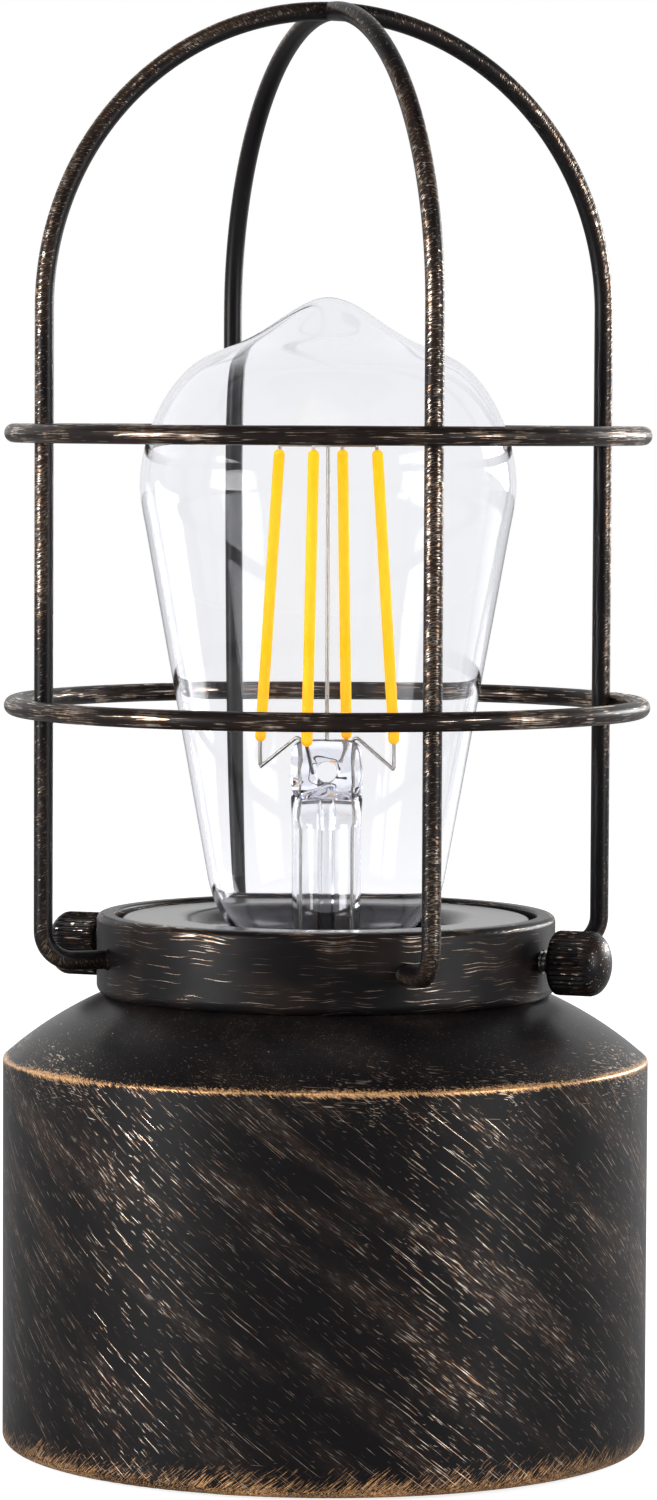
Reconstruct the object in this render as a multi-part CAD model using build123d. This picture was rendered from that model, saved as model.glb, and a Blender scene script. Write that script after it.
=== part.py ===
from build123d import *
from math import asin, atan2, copysign, cos, degrees, sin, sqrt
import os

# Cage table lamp that is switched by touching its metal body.
# Z is the lamp's axis and Z = 0 is the table. The two thumb screws lie along X.

# Base shell: a spun steel drum with a swelling shoulder and a flat ledge on top
base_radius = 55.0
shell_wall = 1.2
crease_height = 66.6
crease_round = 0.5
shoulder_rise = 10.9
shoulder_bulge = 0.8
rim_lift = 0.6
rim_round = 1.8
rim_lip = 4.0

# Underside: a plate screwed to welded lugs, with a pad that stands on the table
pad_thickness = 1.6
pad_radius = 42.0
pad_round = 0.8
plate_thickness = 1.2
plate_gap = 0.5
lug_count = 3
lug_width = 14.0
lug_wall = 1.2
lug_rise = 11.0
lug_reach = 10.5
screw_inset = 4.0
screw_radius = 1.5
screw_head_radius = 2.6
screw_head_depth = 1.1
screw_tail = 2.5

# Cord inlet low in the rear wall
inlet_height = 12.0
inlet_bore = 3.3
grommet_wall = 1.3
grommet_flange = 1.6
grommet_lip = 1.6

# Neck cup: a drawn cup that carries the lampholder and that the cage collar slips over
cup_wall = 1.0
cup_rise = 13.1
cup_edge_inner_round = 0.2
cup_flange = 2.0
well_gap = 3.0
well_round = 2.0
dish_inner_round = 3.4
weld_fit = 0.05

# Cage collar, which passes over the bulb when the cage is lifted off
bulb_pass = 4.0
collar_fit = 1.0
collar_wall = 3.1
collar_height = 13.7
collar_foot_round = 1.7
collar_top_round = 1.1
collar_inner_round = 0.5
collar_overhang = 1.3

# Cage wires, with heights measured up from the ledge
wire_radius = 1.6
hoop_radius = 50.4
hoop_spring_rise = 116.2
hoop_bend = 5.2
hoop_foot_rise = 6.8
hoop_foot_sink = 1.6
hoop_angle = 41.0
crown_butt = 0.5
weld_sink = 0.25
lower_ring_rise = 49.1
upper_ring_rise = 95.2

# Thumb screws
stud_radius = 2.0
stud_point = 0.8
stud_tip_gap = 0.3
stud_reach = 4.4
knob_radius = 5.45
knob_standoff = 2.1
knob_grip = 6.4
knob_dome = 3.4
knob_chamfer = 0.5
knob_floor_gap = 0.3
flute_count = 36
flute_radius = 0.34
running_fit = 0.05

# Bulb
bulb_turned = 21.2
bulb_length = 142.0
bulb_radius = 32.0
dome_height = 32.0
waist_radius = 20.25
waist_rise = 8.0
throat_radius = 16.9
throat_rise = 7.0
neck_fit = 0.05
neck_show = 0.6
neck_depth = 4.0
cone_inset = 1.2
cone_drop = 8.0
crown_inset = 4.3
crown_drop = 17.0
brow_inset = 9.8
brow_drop = 10.9
saddle_radius = 14.0
saddle_drop = 7.2
nose_radius = 6.8
nose_drop = 2.7
glass_wall = 0.8

# Bulb cap
cap_radius = 13.0
cap_wall = 0.35
cap_height = 23.4
cap_foot_round = 1.0
cap_lip_round = 0.12
insulator_height = 3.2
insulator_wall = 2.0
contact_radius = 4.6
contact_thickness = 2.4
contact_proud = 1.4
contact_round = 1.0

# Bulb stem, filaments and wires
stem_radius = 5.9
stem_wall = 0.8
stem_lift = 1.0
stem_length = 27.5
stem_flare_round = 5.0
pinch_swell = 0.4
pinch_thickness = 4.4
pinch_taper = 4.5
pinch_height = 10.0
pinch_round = 1.2
pinch_eye = 1.7
pinch_eye_drop = 5.6
exhaust_radius = 1.5
exhaust_wall = 0.5
lead_radius = 0.3
lead_gap = 0.4
lead_arch = 0.9
lead_bend = 0.7
lead_drop = 5.0
filament_count = 4
filament_radius = 0.95
filament_foot_radius = 11.9
filament_head_radius = 8.65
filament_drop = 0.6
filament_head_drop = 25.8
filament_turn = -16.5
tab_radius = 0.35
tab_length = 1.2
rod_radius = 0.35
driver_thickness = 1.2
driver_rise = 7.4
driver_part_height = 4.0

# Lampholder in the well
holder_wall = 4.5
holder_round = 1.2
holder_lip_round = 0.6
cap_show = 1.9
holder_floor_drop = 4.0
holder_base = 6.0
cap_fit = 0.5
sleeve_wall = 0.5
sleeve_lip = 3.5
sleeve_top_gap = 1.5
tongue_width = 5.0
tongue_thickness = 0.5
tongue_foot = 3.4
tongue_tip = 2.5
tongue_gap = 0.3

# Threaded nipple that clamps the lampholder to the cup
nipple_radius = 4.9
nipple_wall = 1.1
nipple_head_gap = 1.5
nipple_tail = 4.0
nut_wall = 2.1
nut_thickness = 5.0
washer_width = 4.1
washer_thickness = 1.0
lug_ring_width = 3.6
lug_ring_thickness = 0.6
lug_ring_tail = 15.0
lug_ring_tail_width = 4.0

# Touch module on the bottom plate
tape_thickness = 0.8
tape_margin = 4.0
case_length = 52.0
case_width = 30.0
case_height = 16.0
case_wall = 1.6
case_round = 3.0
lid_thickness = 1.8
board_gap = 0.4
board_height = 4.0
board_thickness = 1.6
post_inset = 8.0
post_radius = 1.6
coil_radius = 4.0
coil_bore = 2.0
coil_height = 6.0
chip_side = 7.0
chip_height = 2.0
switch_length = 10.0
switch_width = 4.5
switch_height = 7.0
device_pitch = 14.0
wire_coat_radius = 0.9
lead_pitch = 2.4
lead_exit = 12.0
lead_room = 10.9

# Radii that follow from the sizes above
shell_inner = base_radius - shell_wall
plate_radius = base_radius - rim_lip - plate_gap
screw_circle = plate_radius - screw_inset
collar_inner = bulb_radius + bulb_pass
collar_radius = collar_inner + collar_wall
ledge_radius = collar_radius - collar_overhang
cup_radius = collar_inner - collar_fit
ring_radius = hoop_radius + 2 * wire_radius - weld_sink
stud_tip = cup_radius + stud_tip_gap
knob_seat = collar_radius + knob_standoff
cap_inner = cap_radius - cap_wall
neck_radius = cap_inner - neck_fit
insulator_radius = contact_radius + insulator_wall
lead_spread = stem_radius - stem_wall - lead_gap - lead_radius
pinch_width = 2 * stem_radius + pinch_swell
sleeve_radius = cap_radius + cap_fit
holder_radius = sleeve_radius + sleeve_wall + holder_wall
well_radius = holder_radius + well_gap

# Heights on the bulb, measured up from its end contact
cap_bottom = contact_proud + insulator_height
cap_top = cap_bottom + cap_height
neck_bottom = cap_top - neck_depth
neck_top = cap_top + neck_show
throat_height = neck_top + throat_rise
waist_height = throat_height + waist_rise
widest_height = bulb_length - dome_height
stem_bottom = neck_bottom + stem_lift
stem_top = stem_bottom + stem_length
pinch_bottom = stem_top + pinch_taper
pinch_top = pinch_bottom + pinch_height
pinch_eye_height = pinch_top - pinch_eye_drop
lead_end_height = pinch_top - lead_drop
filament_foot = pinch_top - filament_drop
filament_head = bulb_length - filament_head_drop
driver_height = cap_bottom + driver_rise

# Heights above the table
ledge_height = crease_height + shoulder_rise
ledge_under = ledge_height - shell_wall
plate_low = pad_thickness
plate_top = plate_low + plate_thickness
cup_top = ledge_height + cup_rise
collar_top = ledge_height + collar_height
hoop_foot_height = ledge_height + hoop_foot_rise
hoop_spring_height = ledge_height + hoop_spring_rise

# Heights above the table of what stands on the bottom plate, from the touch module up to the bulb
case_low = plate_top + tape_thickness
lid_low = case_low + case_height
lid_top = lid_low + lid_thickness
nipple_low = lid_top + lead_room
nut_top = nipple_low + nipple_tail + nut_thickness
lug_top = nut_top + lug_ring_thickness
washer_top = lug_top + washer_thickness
well_floor = washer_top + cup_wall
holder_floor = well_floor + holder_base
bulb_low = holder_floor + holder_floor_drop
holder_rim = bulb_low + cap_top - cap_show


def turned(points, rounds):
    """Body of revolution about Z from corners (radius, height), each corner rounded by its own amount."""
    outline = FilletPolyline(*points, radius=rounds, close=True)
    return revolve(make_face(Plane.XZ * outline), Axis.Z)


def tube(inner, outer, low, high):
    """Straight tube about Z."""
    return Pos(0, 0, low) * extrude(Circle(outer) - Circle(inner), high - low)


def disc(radius, low, high):
    """Solid cylinder about Z."""
    return Pos(0, 0, low) * extrude(Circle(radius), high - low)


def rod(radius, start, end):
    """Round rod between two points."""
    axis = Vector(*end) - Vector(*start)
    return extrude(Plane(origin=start, z_dir=axis) * Circle(radius), axis.length, dir=axis.normalized())


def wire(radius, path):
    """Round wire swept along a path of lines and arcs."""
    return sweep(Plane(origin=path @ 0, z_dir=path % 0) * Circle(radius), path=path)


def polar(radius, angle, height):
    """Point at a radius, an angle in degrees and a height."""
    spot = Vector(radius, 0).rotate(Axis.Z, angle)
    return (spot.X, spot.Y, height)


def around(count, start=0.0):
    """Equal angles round the axis."""
    return [start + 360.0 * i / count for i in range(count)]


# Base shell and underside


def shoulder_line(inset):
    """Drum outline moved inwards by a wall: wall top, ledge corner and the shoulder arc between them."""
    rise = ledge_height - crease_height
    run = base_radius - ledge_radius
    slope = atan2(rise, run)
    crease = (base_radius - inset, crease_height - inset * (1 - sin(slope)) / cos(slope))
    corner = (ledge_radius - inset * (1 - cos(slope)) / sin(slope), ledge_height - inset)
    return crease, corner, SagittaArc(crease, corner, -shoulder_bulge)


def drum(inset, low):
    """Filled drum under the shoulder line, from a height up to the ledge."""
    crease, corner, shoulder = shoulder_line(inset)
    sides = Polyline((0, corner[1]), (0, low), (crease[0], low), crease)
    ledge = Line(corner, (0, corner[1]))
    outline = sides.edges() + [shoulder, ledge]
    return revolve(make_face([Plane.XZ * edge for edge in outline]), Axis.Z)


def grommet_axis():
    """Plane whose normal runs out through the rear wall along the cord inlet."""
    return Plane(origin=(0, 0, inlet_height), x_dir=(1, 0, 0), z_dir=(0, 1, 0))


def base_shell():
    body = drum(0, rim_lift)
    rim = body.edges().group_by(Axis.Z)[0]
    body = fillet(rim, rim_round)
    crease = body.edges().filter_by(GeomType.CIRCLE).filter_by_position(
        Axis.Z, crease_height - crease_round, crease_height + crease_round)
    body = fillet(crease, crease_round)
    body -= drum(shell_wall, rim_lift + shell_wall)
    body -= disc(base_radius - rim_lip, 0, rim_lift + shell_wall)
    body -= disc(cup_radius + weld_fit, ledge_under - shell_wall, ledge_height + shell_wall)
    hole = grommet_axis() * Circle(inlet_bore + grommet_wall)
    return body - extrude(hole, base_radius + shell_wall)


def plate_lugs():
    reach = shell_inner - lug_reach
    corner = [(reach, plate_top), (shell_inner, plate_top), (shell_inner, plate_top + lug_rise),
              (shell_inner - lug_wall, plate_top + lug_rise), (shell_inner - lug_wall, plate_top + lug_wall),
              (reach, plate_top + lug_wall)]
    ring = turned(corner, [0, 0, 0, 0, lug_wall, 0])
    bar = Pos(base_radius / 2, 0, ledge_height / 2) * Box(base_radius, lug_width, ledge_height)
    lug = ring & bar
    return Compound([Rot(0, 0, a) * lug for a in around(lug_count, 90.0 / lug_count)]) - plate_screws()


def plate_screws():
    tail = plate_top + lug_wall + screw_tail
    points = [(0, plate_low), (screw_head_radius, plate_low), (screw_radius, plate_low + screw_head_depth),
              (screw_radius, tail), (0, tail)]
    screw = turned(points, 0.0)
    return Compound([Pos(polar(screw_circle, a, 0)) * screw for a in around(lug_count, 90.0 / lug_count)])


def bottom_plate():
    return disc(plate_radius, plate_low, plate_top) - plate_screws()


def foot_pad():
    return turned([(0, 0), (pad_radius, 0), (pad_radius, pad_thickness), (0, pad_thickness)],
                  [0, pad_round, 0, 0])


def cord_grommet():
    neck = extrude(grommet_axis() * Circle(inlet_bore + grommet_wall), base_radius)
    flange = extrude(grommet_axis() * Circle(inlet_bore + grommet_wall + grommet_lip), base_radius)
    sleeve = neck & disc(base_radius, 0, crease_height)
    collar = flange & disc(shell_inner, 0, crease_height)
    inner_end = sqrt(shell_inner ** 2 - (inlet_bore + grommet_wall + grommet_lip) ** 2) - grommet_flange
    body = sleeve + collar
    body -= Pos(0, inner_end / 2, inlet_height) * Box(base_radius, inner_end, crease_height)
    return body - extrude(grommet_axis() * Circle(inlet_bore), base_radius + shell_wall)


# Neck cup, lampholder and the nipple that clamps them


def neck_cup():
    low = ledge_under - cup_wall
    bore = nipple_radius + weld_fit
    skirt = cup_radius - cup_wall
    well = well_radius + cup_wall
    points = [(cup_radius + cup_flange, low), (cup_radius + cup_flange, ledge_under), (cup_radius, ledge_under),
              (cup_radius, cup_top), (well_radius, cup_top), (well_radius, well_floor), (bore, well_floor),
              (bore, well_floor - cup_wall), (well, well_floor - cup_wall), (well, cup_top - cup_wall),
              (skirt, cup_top - cup_wall), (skirt, low)]
    rounds = [0, 0, 0, cup_edge_inner_round + cup_wall, dish_inner_round + cup_wall, well_round, 0, 0,
              well_round + cup_wall, dish_inner_round, cup_edge_inner_round, 0]
    return turned(points, rounds)


def lampholder_body():
    bore = sleeve_radius + sleeve_wall + weld_fit
    passage = nipple_radius + weld_fit
    points = [(passage, well_floor), (holder_radius, well_floor), (holder_radius, holder_rim), (bore, holder_rim),
              (bore, holder_floor), (passage, holder_floor)]
    return turned(points, [0, well_round + holder_round, holder_round, holder_lip_round, 0, 0])


def lampholder_sleeve():
    top = holder_rim - sleeve_top_gap
    outer = sleeve_radius + sleeve_wall
    points = [(outer - sleeve_lip, holder_floor), (outer, holder_floor), (outer, top), (sleeve_radius, top),
              (sleeve_radius, holder_floor + sleeve_wall), (outer - sleeve_lip, holder_floor + sleeve_wall)]
    return turned(points, 0.0)


def lampholder_tongue():
    """Spring strip: a foot on the holder's floor, then a ramp up to the middle under the bulb's contact."""
    lip = sleeve_radius + sleeve_wall - sleeve_lip - weld_fit
    outer = sqrt(lip ** 2 - (tongue_width / 2) ** 2)
    high = bulb_low - tongue_gap - tongue_thickness
    foot_end = outer - tongue_foot
    strip = Polyline((-outer, holder_floor), (-foot_end, holder_floor), (-tongue_tip, high), (tongue_tip, high),
                     (tongue_tip, high + tongue_thickness), (-tongue_tip, high + tongue_thickness),
                     (-foot_end, holder_floor + tongue_thickness), (-outer, holder_floor + tongue_thickness),
                     close=True)
    return extrude(make_face(Plane.XZ * strip), tongue_width / 2, both=True)


def nipple():
    return tube(nipple_radius - nipple_wall, nipple_radius, nipple_low, holder_floor - nipple_head_gap)


def nipple_washer():
    return tube(nipple_radius + weld_fit, nipple_radius + washer_width, washer_top - washer_thickness, washer_top)


def sense_lug():
    tail = Pos(lug_ring_tail / 2, 0) * Rectangle(lug_ring_tail, lug_ring_tail_width)
    flat = Circle(nipple_radius + lug_ring_width) + tail - Circle(nipple_radius + weld_fit)
    return Pos(0, 0, lug_top - lug_ring_thickness) * extrude(flat, lug_ring_thickness)


def nipple_nut():
    flat = RegularPolygon(nipple_radius + nut_wall, 6, major_radius=False) - Circle(nipple_radius + weld_fit)
    return Pos(0, 0, nut_top - nut_thickness) * extrude(flat, nut_thickness)


# Touch module and its leads


def touch_tape():
    side = RectangleRounded(case_length - tape_margin, case_width - tape_margin, case_round)
    return Pos(0, 0, plate_top) * extrude(side, tape_thickness)


def touch_case():
    outer = extrude(RectangleRounded(case_length, case_width, case_round), case_height)
    space = extrude(RectangleRounded(case_length - 2 * case_wall, case_width - 2 * case_wall,
                                     case_round - case_wall), case_height)
    return Pos(0, 0, case_low) * (outer - Pos(0, 0, case_wall) * space)


def lead_exits():
    """Places in the lid where the two lamp leads and the sense lead come out."""
    return [(-lead_exit, 0), (lead_exit, -lead_pitch), (lead_exit, lead_pitch)]


def touch_lid():
    lid = extrude(RectangleRounded(case_length, case_width, case_round), lid_thickness)
    holes = [Pos(x, y) * extrude(Circle(wire_coat_radius + weld_fit), lid_thickness) for x, y in lead_exits()]
    return Pos(0, 0, lid_low) * (lid - holes)


def touch_board():
    inset = case_wall + board_gap
    flat = RectangleRounded(case_length - 2 * inset, case_width - 2 * inset, case_round - case_wall)
    low = case_low + case_wall
    x, y = case_length / 2 - post_inset, case_width / 2 - post_inset
    posts = [Pos(*spot, low) * extrude(Circle(post_radius), board_height)
             for spot in [(x, y), (-x, y), (-x, -y), (x, -y)]]
    return Pos(0, 0, low + board_height) * extrude(flat, board_thickness) + posts


def board_devices():
    """Choke, sensing chip and dimmer switch on the board."""
    top = case_low + case_wall + board_height + board_thickness
    choke = Pos(-device_pitch, 0, top) * extrude(Circle(coil_radius) - Circle(coil_bore), coil_height)
    chip = Pos(0, 0, top) * extrude(Rectangle(chip_side, chip_side), chip_height)
    switch = Pos(device_pitch, 0, top) * extrude(Rectangle(switch_width, switch_length), switch_height)
    return Compound([choke, chip, switch])


def lead_route(start, end, high, top):
    """Lead that leaves the lid straight up, slants across below a height and ends straight up."""
    bend = (high - lid_top) / 4
    points = [(*start, lid_low), (*start, lid_top + bend), (*end, high - bend), (*end, top)]
    return FilletPolyline(*points, radius=bend)


def lamp_leads():
    """Two coated wires from the touch module up through the nipple to the lampholder."""
    ends = [(-lead_pitch / 2, 0), (lead_pitch / 2, 0)]
    top = holder_floor - nipple_head_gap
    routes = [lead_route(a, b, nipple_low, top) for a, b in zip(lead_exits()[:2], ends)]
    return Compound([wire(wire_coat_radius, route) for route in routes])


def sense_lead():
    """Wire from the touch module to the ring lug that ties the sensor to the metal body."""
    end = (lug_ring_tail - lug_ring_tail_width / 2, 0)
    return wire(wire_coat_radius, lead_route(lead_exits()[2], end, nut_top, nut_top))


# Cage


def hoop_leg():
    """Path from the collar outwards, round the bend and up to where the arch springs."""
    start = (collar_radius - hoop_foot_sink, 0, hoop_foot_height)
    corner = (hoop_radius, 0, hoop_foot_height)
    return FilletPolyline(start, corner, (hoop_radius, 0, hoop_spring_height), radius=hoop_bend)


def hoop_arch(angle):
    """Arc of the hoop's top from the spring point through an angle."""
    return Plane.XZ * CenterArc((0, hoop_spring_height), hoop_radius, 0, angle)


def main_hoop():
    leg = hoop_leg()
    far_leg = leg.mirror(Plane.YZ)
    path = Wire(leg.edges() + [hoop_arch(180)] + far_leg.edges())
    return Rot(0, 0, hoop_angle) * wire(wire_radius, path)


def half_hoop(angle):
    """Half of the crossing hoop, saddled against the main hoop at the crown."""
    reach = 90 - degrees(asin(crown_butt / hoop_radius))
    path = Wire(hoop_leg().edges() + [hoop_arch(reach)])
    return Rot(0, 0, angle) * wire(wire_radius, path) - main_hoop()


def cage_ring(height):
    """Outer hoop ring, notched where it is welded to the four uprights."""
    ring = Pos(0, 0, height) * Torus(ring_radius, wire_radius)
    uprights = [rod(wire_radius, polar(hoop_radius, a, height - 3 * wire_radius),
                    polar(hoop_radius, a, height + 3 * wire_radius)) for a in around(4, hoop_angle)]
    return ring - uprights


def cage_collar():
    points = [(collar_inner, ledge_height), (collar_radius, ledge_height), (collar_radius, collar_top),
              (collar_inner, collar_top)]
    ring = turned(points, [0, collar_foot_round, collar_top_round, collar_inner_round])
    across = collar_radius + stud_radius
    bore = rod(stud_radius + running_fit, (-across, 0, hoop_foot_height), (across, 0, hoop_foot_height))
    sockets = [rod(wire_radius, polar(collar_radius - hoop_foot_sink, a, hoop_foot_height),
                   polar(collar_radius + wire_radius, a, hoop_foot_height)) for a in around(4, hoop_angle)]
    return ring - bore - sockets


# Thumb screws, drawn along Z and then laid along X


def screw_place(side):
    """Location that lays a screw drawn along Z outwards on the right (0 degrees) or left (180 degrees)."""
    return Rot(0, 0, side) * Pos(0, 0, hoop_foot_height) * Rot(0, 90, 0)


def screw_stud(side):
    end = knob_seat + stud_reach
    points = [(0, stud_tip), (stud_radius - stud_point, stud_tip), (stud_radius, stud_tip + stud_point),
              (stud_radius, end), (0, end)]
    return screw_place(side) * turned(points, 0.0)


def thumb_knob(side):
    shoulder = knob_seat + knob_grip
    bore_end = knob_seat + stud_reach + knob_floor_gap
    dome = EllipticalCenterArc((0, shoulder), knob_radius, knob_dome, arc_size=90)
    sides = Polyline((0, shoulder + knob_dome), (0, knob_seat), (knob_radius - knob_chamfer, knob_seat),
                     (knob_radius, knob_seat + knob_chamfer), (knob_radius, shoulder))
    outline = sides.edges() + [dome]
    knob = revolve(make_face([Plane.XZ * edge for edge in outline]), Axis.Z)
    knob -= disc(stud_radius + running_fit, knob_seat, bore_end)
    low, high = knob_seat - knob_chamfer, shoulder + knob_dome / 2
    flutes = [rod(flute_radius, polar(knob_radius, a, low), polar(knob_radius, a, high))
              for a in around(flute_count, 180.0 / flute_count)]
    return screw_place(side) * (knob - flutes)


# Bulb


def up(height):
    """Height above the table of a height on the bulb."""
    return bulb_low + height


def glass_edges(inset):
    """Glass outline from the neck to the tip, moved inwards by a wall."""
    cone_top = (bulb_radius - cone_inset, widest_height - cone_drop)
    waist = (waist_radius, waist_height)
    run = Vector(cone_top[0] - waist[0], cone_top[1] - waist[1]).normalized()
    crown = [(bulb_radius, widest_height), (bulb_radius - crown_inset, bulb_length - crown_drop),
             (bulb_radius - brow_inset, bulb_length - brow_drop), (saddle_radius, bulb_length - saddle_drop),
             (nose_radius, bulb_length - nose_drop), (0, bulb_length)]
    neck = [(neck_radius, neck_top), (throat_radius, throat_height), waist]

    def moved(point, along):
        return (point[0] - inset * along.Y, up(point[1]) + inset * along.X)

    def between(chain, i):
        return Vector(chain[i + 1][0] - chain[i - 1][0], chain[i + 1][1] - chain[i - 1][1]).normalized()

    rise, inwards = Vector(0, 1), Vector(-1, 0)
    foot = moved((neck_radius, neck_bottom), rise)
    shoulder = moved(neck[0], rise)
    throat = moved(neck[1], between(neck, 1))
    waist_point, cone_point = moved(waist, run), moved(cone_top, run)
    belly = moved(crown[0], rise)
    brow = [moved(crown[i], between(crown, i)) for i in range(1, len(crown) - 1)]
    tip = (0, up(bulb_length) - inset)
    return [Line(foot, shoulder), Spline(shoulder, throat, waist_point, tangents=[rise, run]),
            Line(waist_point, cone_point), Spline(cone_point, belly, tangents=[run, rise]),
            Spline(belly, *brow, tip, tangents=[rise, inwards])]


def bulb_glass():
    outer, inner = glass_edges(0), glass_edges(glass_wall)
    ends = [Line(outer[0] @ 0, inner[0] @ 0), Line(outer[-1] @ 1, inner[-1] @ 1)]
    return revolve(make_face([Plane.XZ * edge for edge in outer + inner + ends]), Axis.Z)


def bulb_cap():
    points = [(insulator_radius, up(cap_bottom)), (cap_radius, up(cap_bottom)), (cap_radius, up(cap_top)),
              (cap_inner, up(cap_top)), (cap_inner, up(cap_bottom) + cap_wall),
              (insulator_radius, up(cap_bottom) + cap_wall)]
    return turned(points, [0, cap_foot_round, cap_lip_round, 0, cap_foot_round - cap_wall, 0])


def bulb_insulator():
    seat = up(contact_thickness)
    points = [(0, up(cap_bottom)), (0, seat), (contact_radius + running_fit, seat),
              (contact_radius + running_fit, up(contact_proud)), (insulator_radius, up(contact_proud)),
              (cap_radius - cap_foot_round, up(cap_bottom))]
    return turned(points, 0.0)


def bulb_contact():
    points = [(0, up(0)), (contact_radius, up(0)), (contact_radius, up(contact_thickness)),
              (0, up(contact_thickness))]
    return turned(points, [0, contact_round, 0, 0])


def driver_board():
    top = up(driver_height + driver_thickness)
    board = disc(cap_inner - running_fit, up(driver_height), top)
    part = disc(lead_spread - lead_radius - running_fit, top, top + driver_part_height)
    return board + part


def lead_path(side):
    """Lead from the driver board, up through the pinch, over its top and down to a filament's foot."""
    x = side * lead_spread
    turn = filament_turn if side > 0 else filament_turn + 180
    board_top = up(driver_height + driver_thickness)
    points = [(x, 0, board_top), (x, 0, up(pinch_top) + lead_arch),
              polar(filament_foot_radius, turn, up(lead_end_height))]
    return FilletPolyline(*points, radius=lead_bend)


def bulb_leads():
    return Compound([wire(lead_radius, lead_path(side)) for side in (-1, 1)])


def bulb_stem():
    """Glass flare and tube, drawn in at the top to a flat pinch with an eye through it."""
    flare = neck_radius - glass_wall - weld_fit
    bore = stem_radius - stem_wall
    low = up(stem_bottom)
    points = [(flare, low), (flare, low + stem_wall), (stem_radius, low + stem_wall), (stem_radius, up(stem_top)),
              (bore, up(stem_top)), (bore, low)]
    glass = turned(points, [0, 0, stem_flare_round, 0, 0, stem_flare_round + stem_wall])
    foot = Pos(0, 0, up(stem_top)) * Circle(stem_radius)
    blade = RectangleRounded(pinch_width, pinch_thickness, pinch_round)
    glass += loft([foot, Pos(0, 0, up(pinch_bottom)) * blade])
    glass += Pos(0, 0, up(pinch_bottom)) * extrude(blade, pinch_top - pinch_bottom)
    eye = rod(pinch_eye, (0, -pinch_thickness, up(pinch_eye_height)), (0, pinch_thickness, up(pinch_eye_height)))
    return glass - eye - bulb_leads()


def exhaust_tube():
    top = up(driver_height + driver_thickness) + driver_part_height
    return tube(exhaust_radius - exhaust_wall, exhaust_radius, top, up(stem_top))


def filament_ends(angle):
    """Foot and head of a filament at an angle."""
    return polar(filament_foot_radius, angle, up(filament_foot)), polar(filament_head_radius, angle, up(filament_head))


def filament_angles():
    return around(filament_count, filament_turn)


def bulb_filaments():
    return Compound([rod(filament_radius, *filament_ends(a)) for a in filament_angles()])


def filament_tabs():
    """Metal tabs at both ends of each filament, and the wires that tie the inner pair to the pinch."""
    tabs = []
    for i, angle in enumerate(filament_angles()):
        foot, head = (Vector(*p) for p in filament_ends(angle))
        along = (head - foot).normalized()
        tabs.append(rod(tab_radius, tuple(head), tuple(head + along * tab_length)))
        if i % 2:
            beside_eye = pinch_eye + 2 * tab_radius
            end = Vector(copysign(beside_eye, foot.X), copysign(pinch_thickness / 2, foot.Y), up(pinch_eye_height))
        else:
            end = Vector(*polar(filament_foot_radius, angle, up(lead_end_height) + lead_radius))
        tabs.append(rod(tab_radius, tuple(foot), tuple(end)))
    return Compound(tabs) - bulb_leads() - bulb_filaments() - bulb_stem()


def support_rod():
    """Middle rod on the pinch, with a spider that holds the filaments' heads."""
    high = up(filament_head) + tab_length
    lean = (filament_foot_radius - filament_head_radius) / (filament_head - filament_foot)
    reach = filament_head_radius - lean * tab_length
    body = rod(rod_radius, (0, 0, up(pinch_top)), (0, 0, high))
    arms = [rod(rod_radius, (0, 0, high - rod_radius), polar(reach, a, high - rod_radius)) for a in filament_angles()]
    return body + arms - filament_tabs()


def on_bulb(solid):
    """The bulb as it stands when it is screwed tight."""
    return Rot(0, 0, bulb_turned) * solid


nodes = {
    "base_shell": base_shell(),
    "plate_lugs": plate_lugs(),
    "plate_screws": plate_screws(),
    "bottom_plate": bottom_plate(),
    "foot_pad": foot_pad(),
    "cord_grommet": cord_grommet(),
    "neck_cup": neck_cup(),
    "lampholder_body": lampholder_body(),
    "lampholder_sleeve": lampholder_sleeve(),
    "lampholder_tongue": lampholder_tongue(),
    "nipple": nipple(),
    "nipple_washer": nipple_washer(),
    "nipple_nut": nipple_nut(),
    "sense_lug": sense_lug(),
    "touch_tape": touch_tape(),
    "touch_case": touch_case(),
    "touch_lid": touch_lid(),
    "touch_board": touch_board(),
    "board_devices": board_devices(),
    "lamp_leads": lamp_leads(),
    "sense_lead": sense_lead(),
    "cage_collar": cage_collar(),
    "main_hoop": main_hoop(),
    "front_half_hoop": half_hoop(hoop_angle - 90),
    "rear_half_hoop": half_hoop(hoop_angle + 90),
    "lower_ring": cage_ring(ledge_height + lower_ring_rise),
    "upper_ring": cage_ring(ledge_height + upper_ring_rise),
    "right_screw_stud": screw_stud(0),
    "right_thumb_knob": thumb_knob(0),
    "left_screw_stud": screw_stud(180),
    "left_thumb_knob": thumb_knob(180),
    "bulb_contact": bulb_contact(),
    "bulb_glass": bulb_glass(),
    "bulb_cap": bulb_cap(),
    "bulb_insulator": bulb_insulator(),
    "driver_board": driver_board(),
    "bulb_stem": on_bulb(bulb_stem()),
    "exhaust_tube": exhaust_tube(),
    "bulb_leads": on_bulb(bulb_leads()),
    "bulb_filaments": on_bulb(bulb_filaments()),
    "filament_tabs": on_bulb(filament_tabs()),
    "support_rod": on_bulb(support_rod()),
}

os.makedirs("parts", exist_ok=True)
for name, solid in nodes.items():
    export_step(solid, f"parts/{name}.step")
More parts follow.
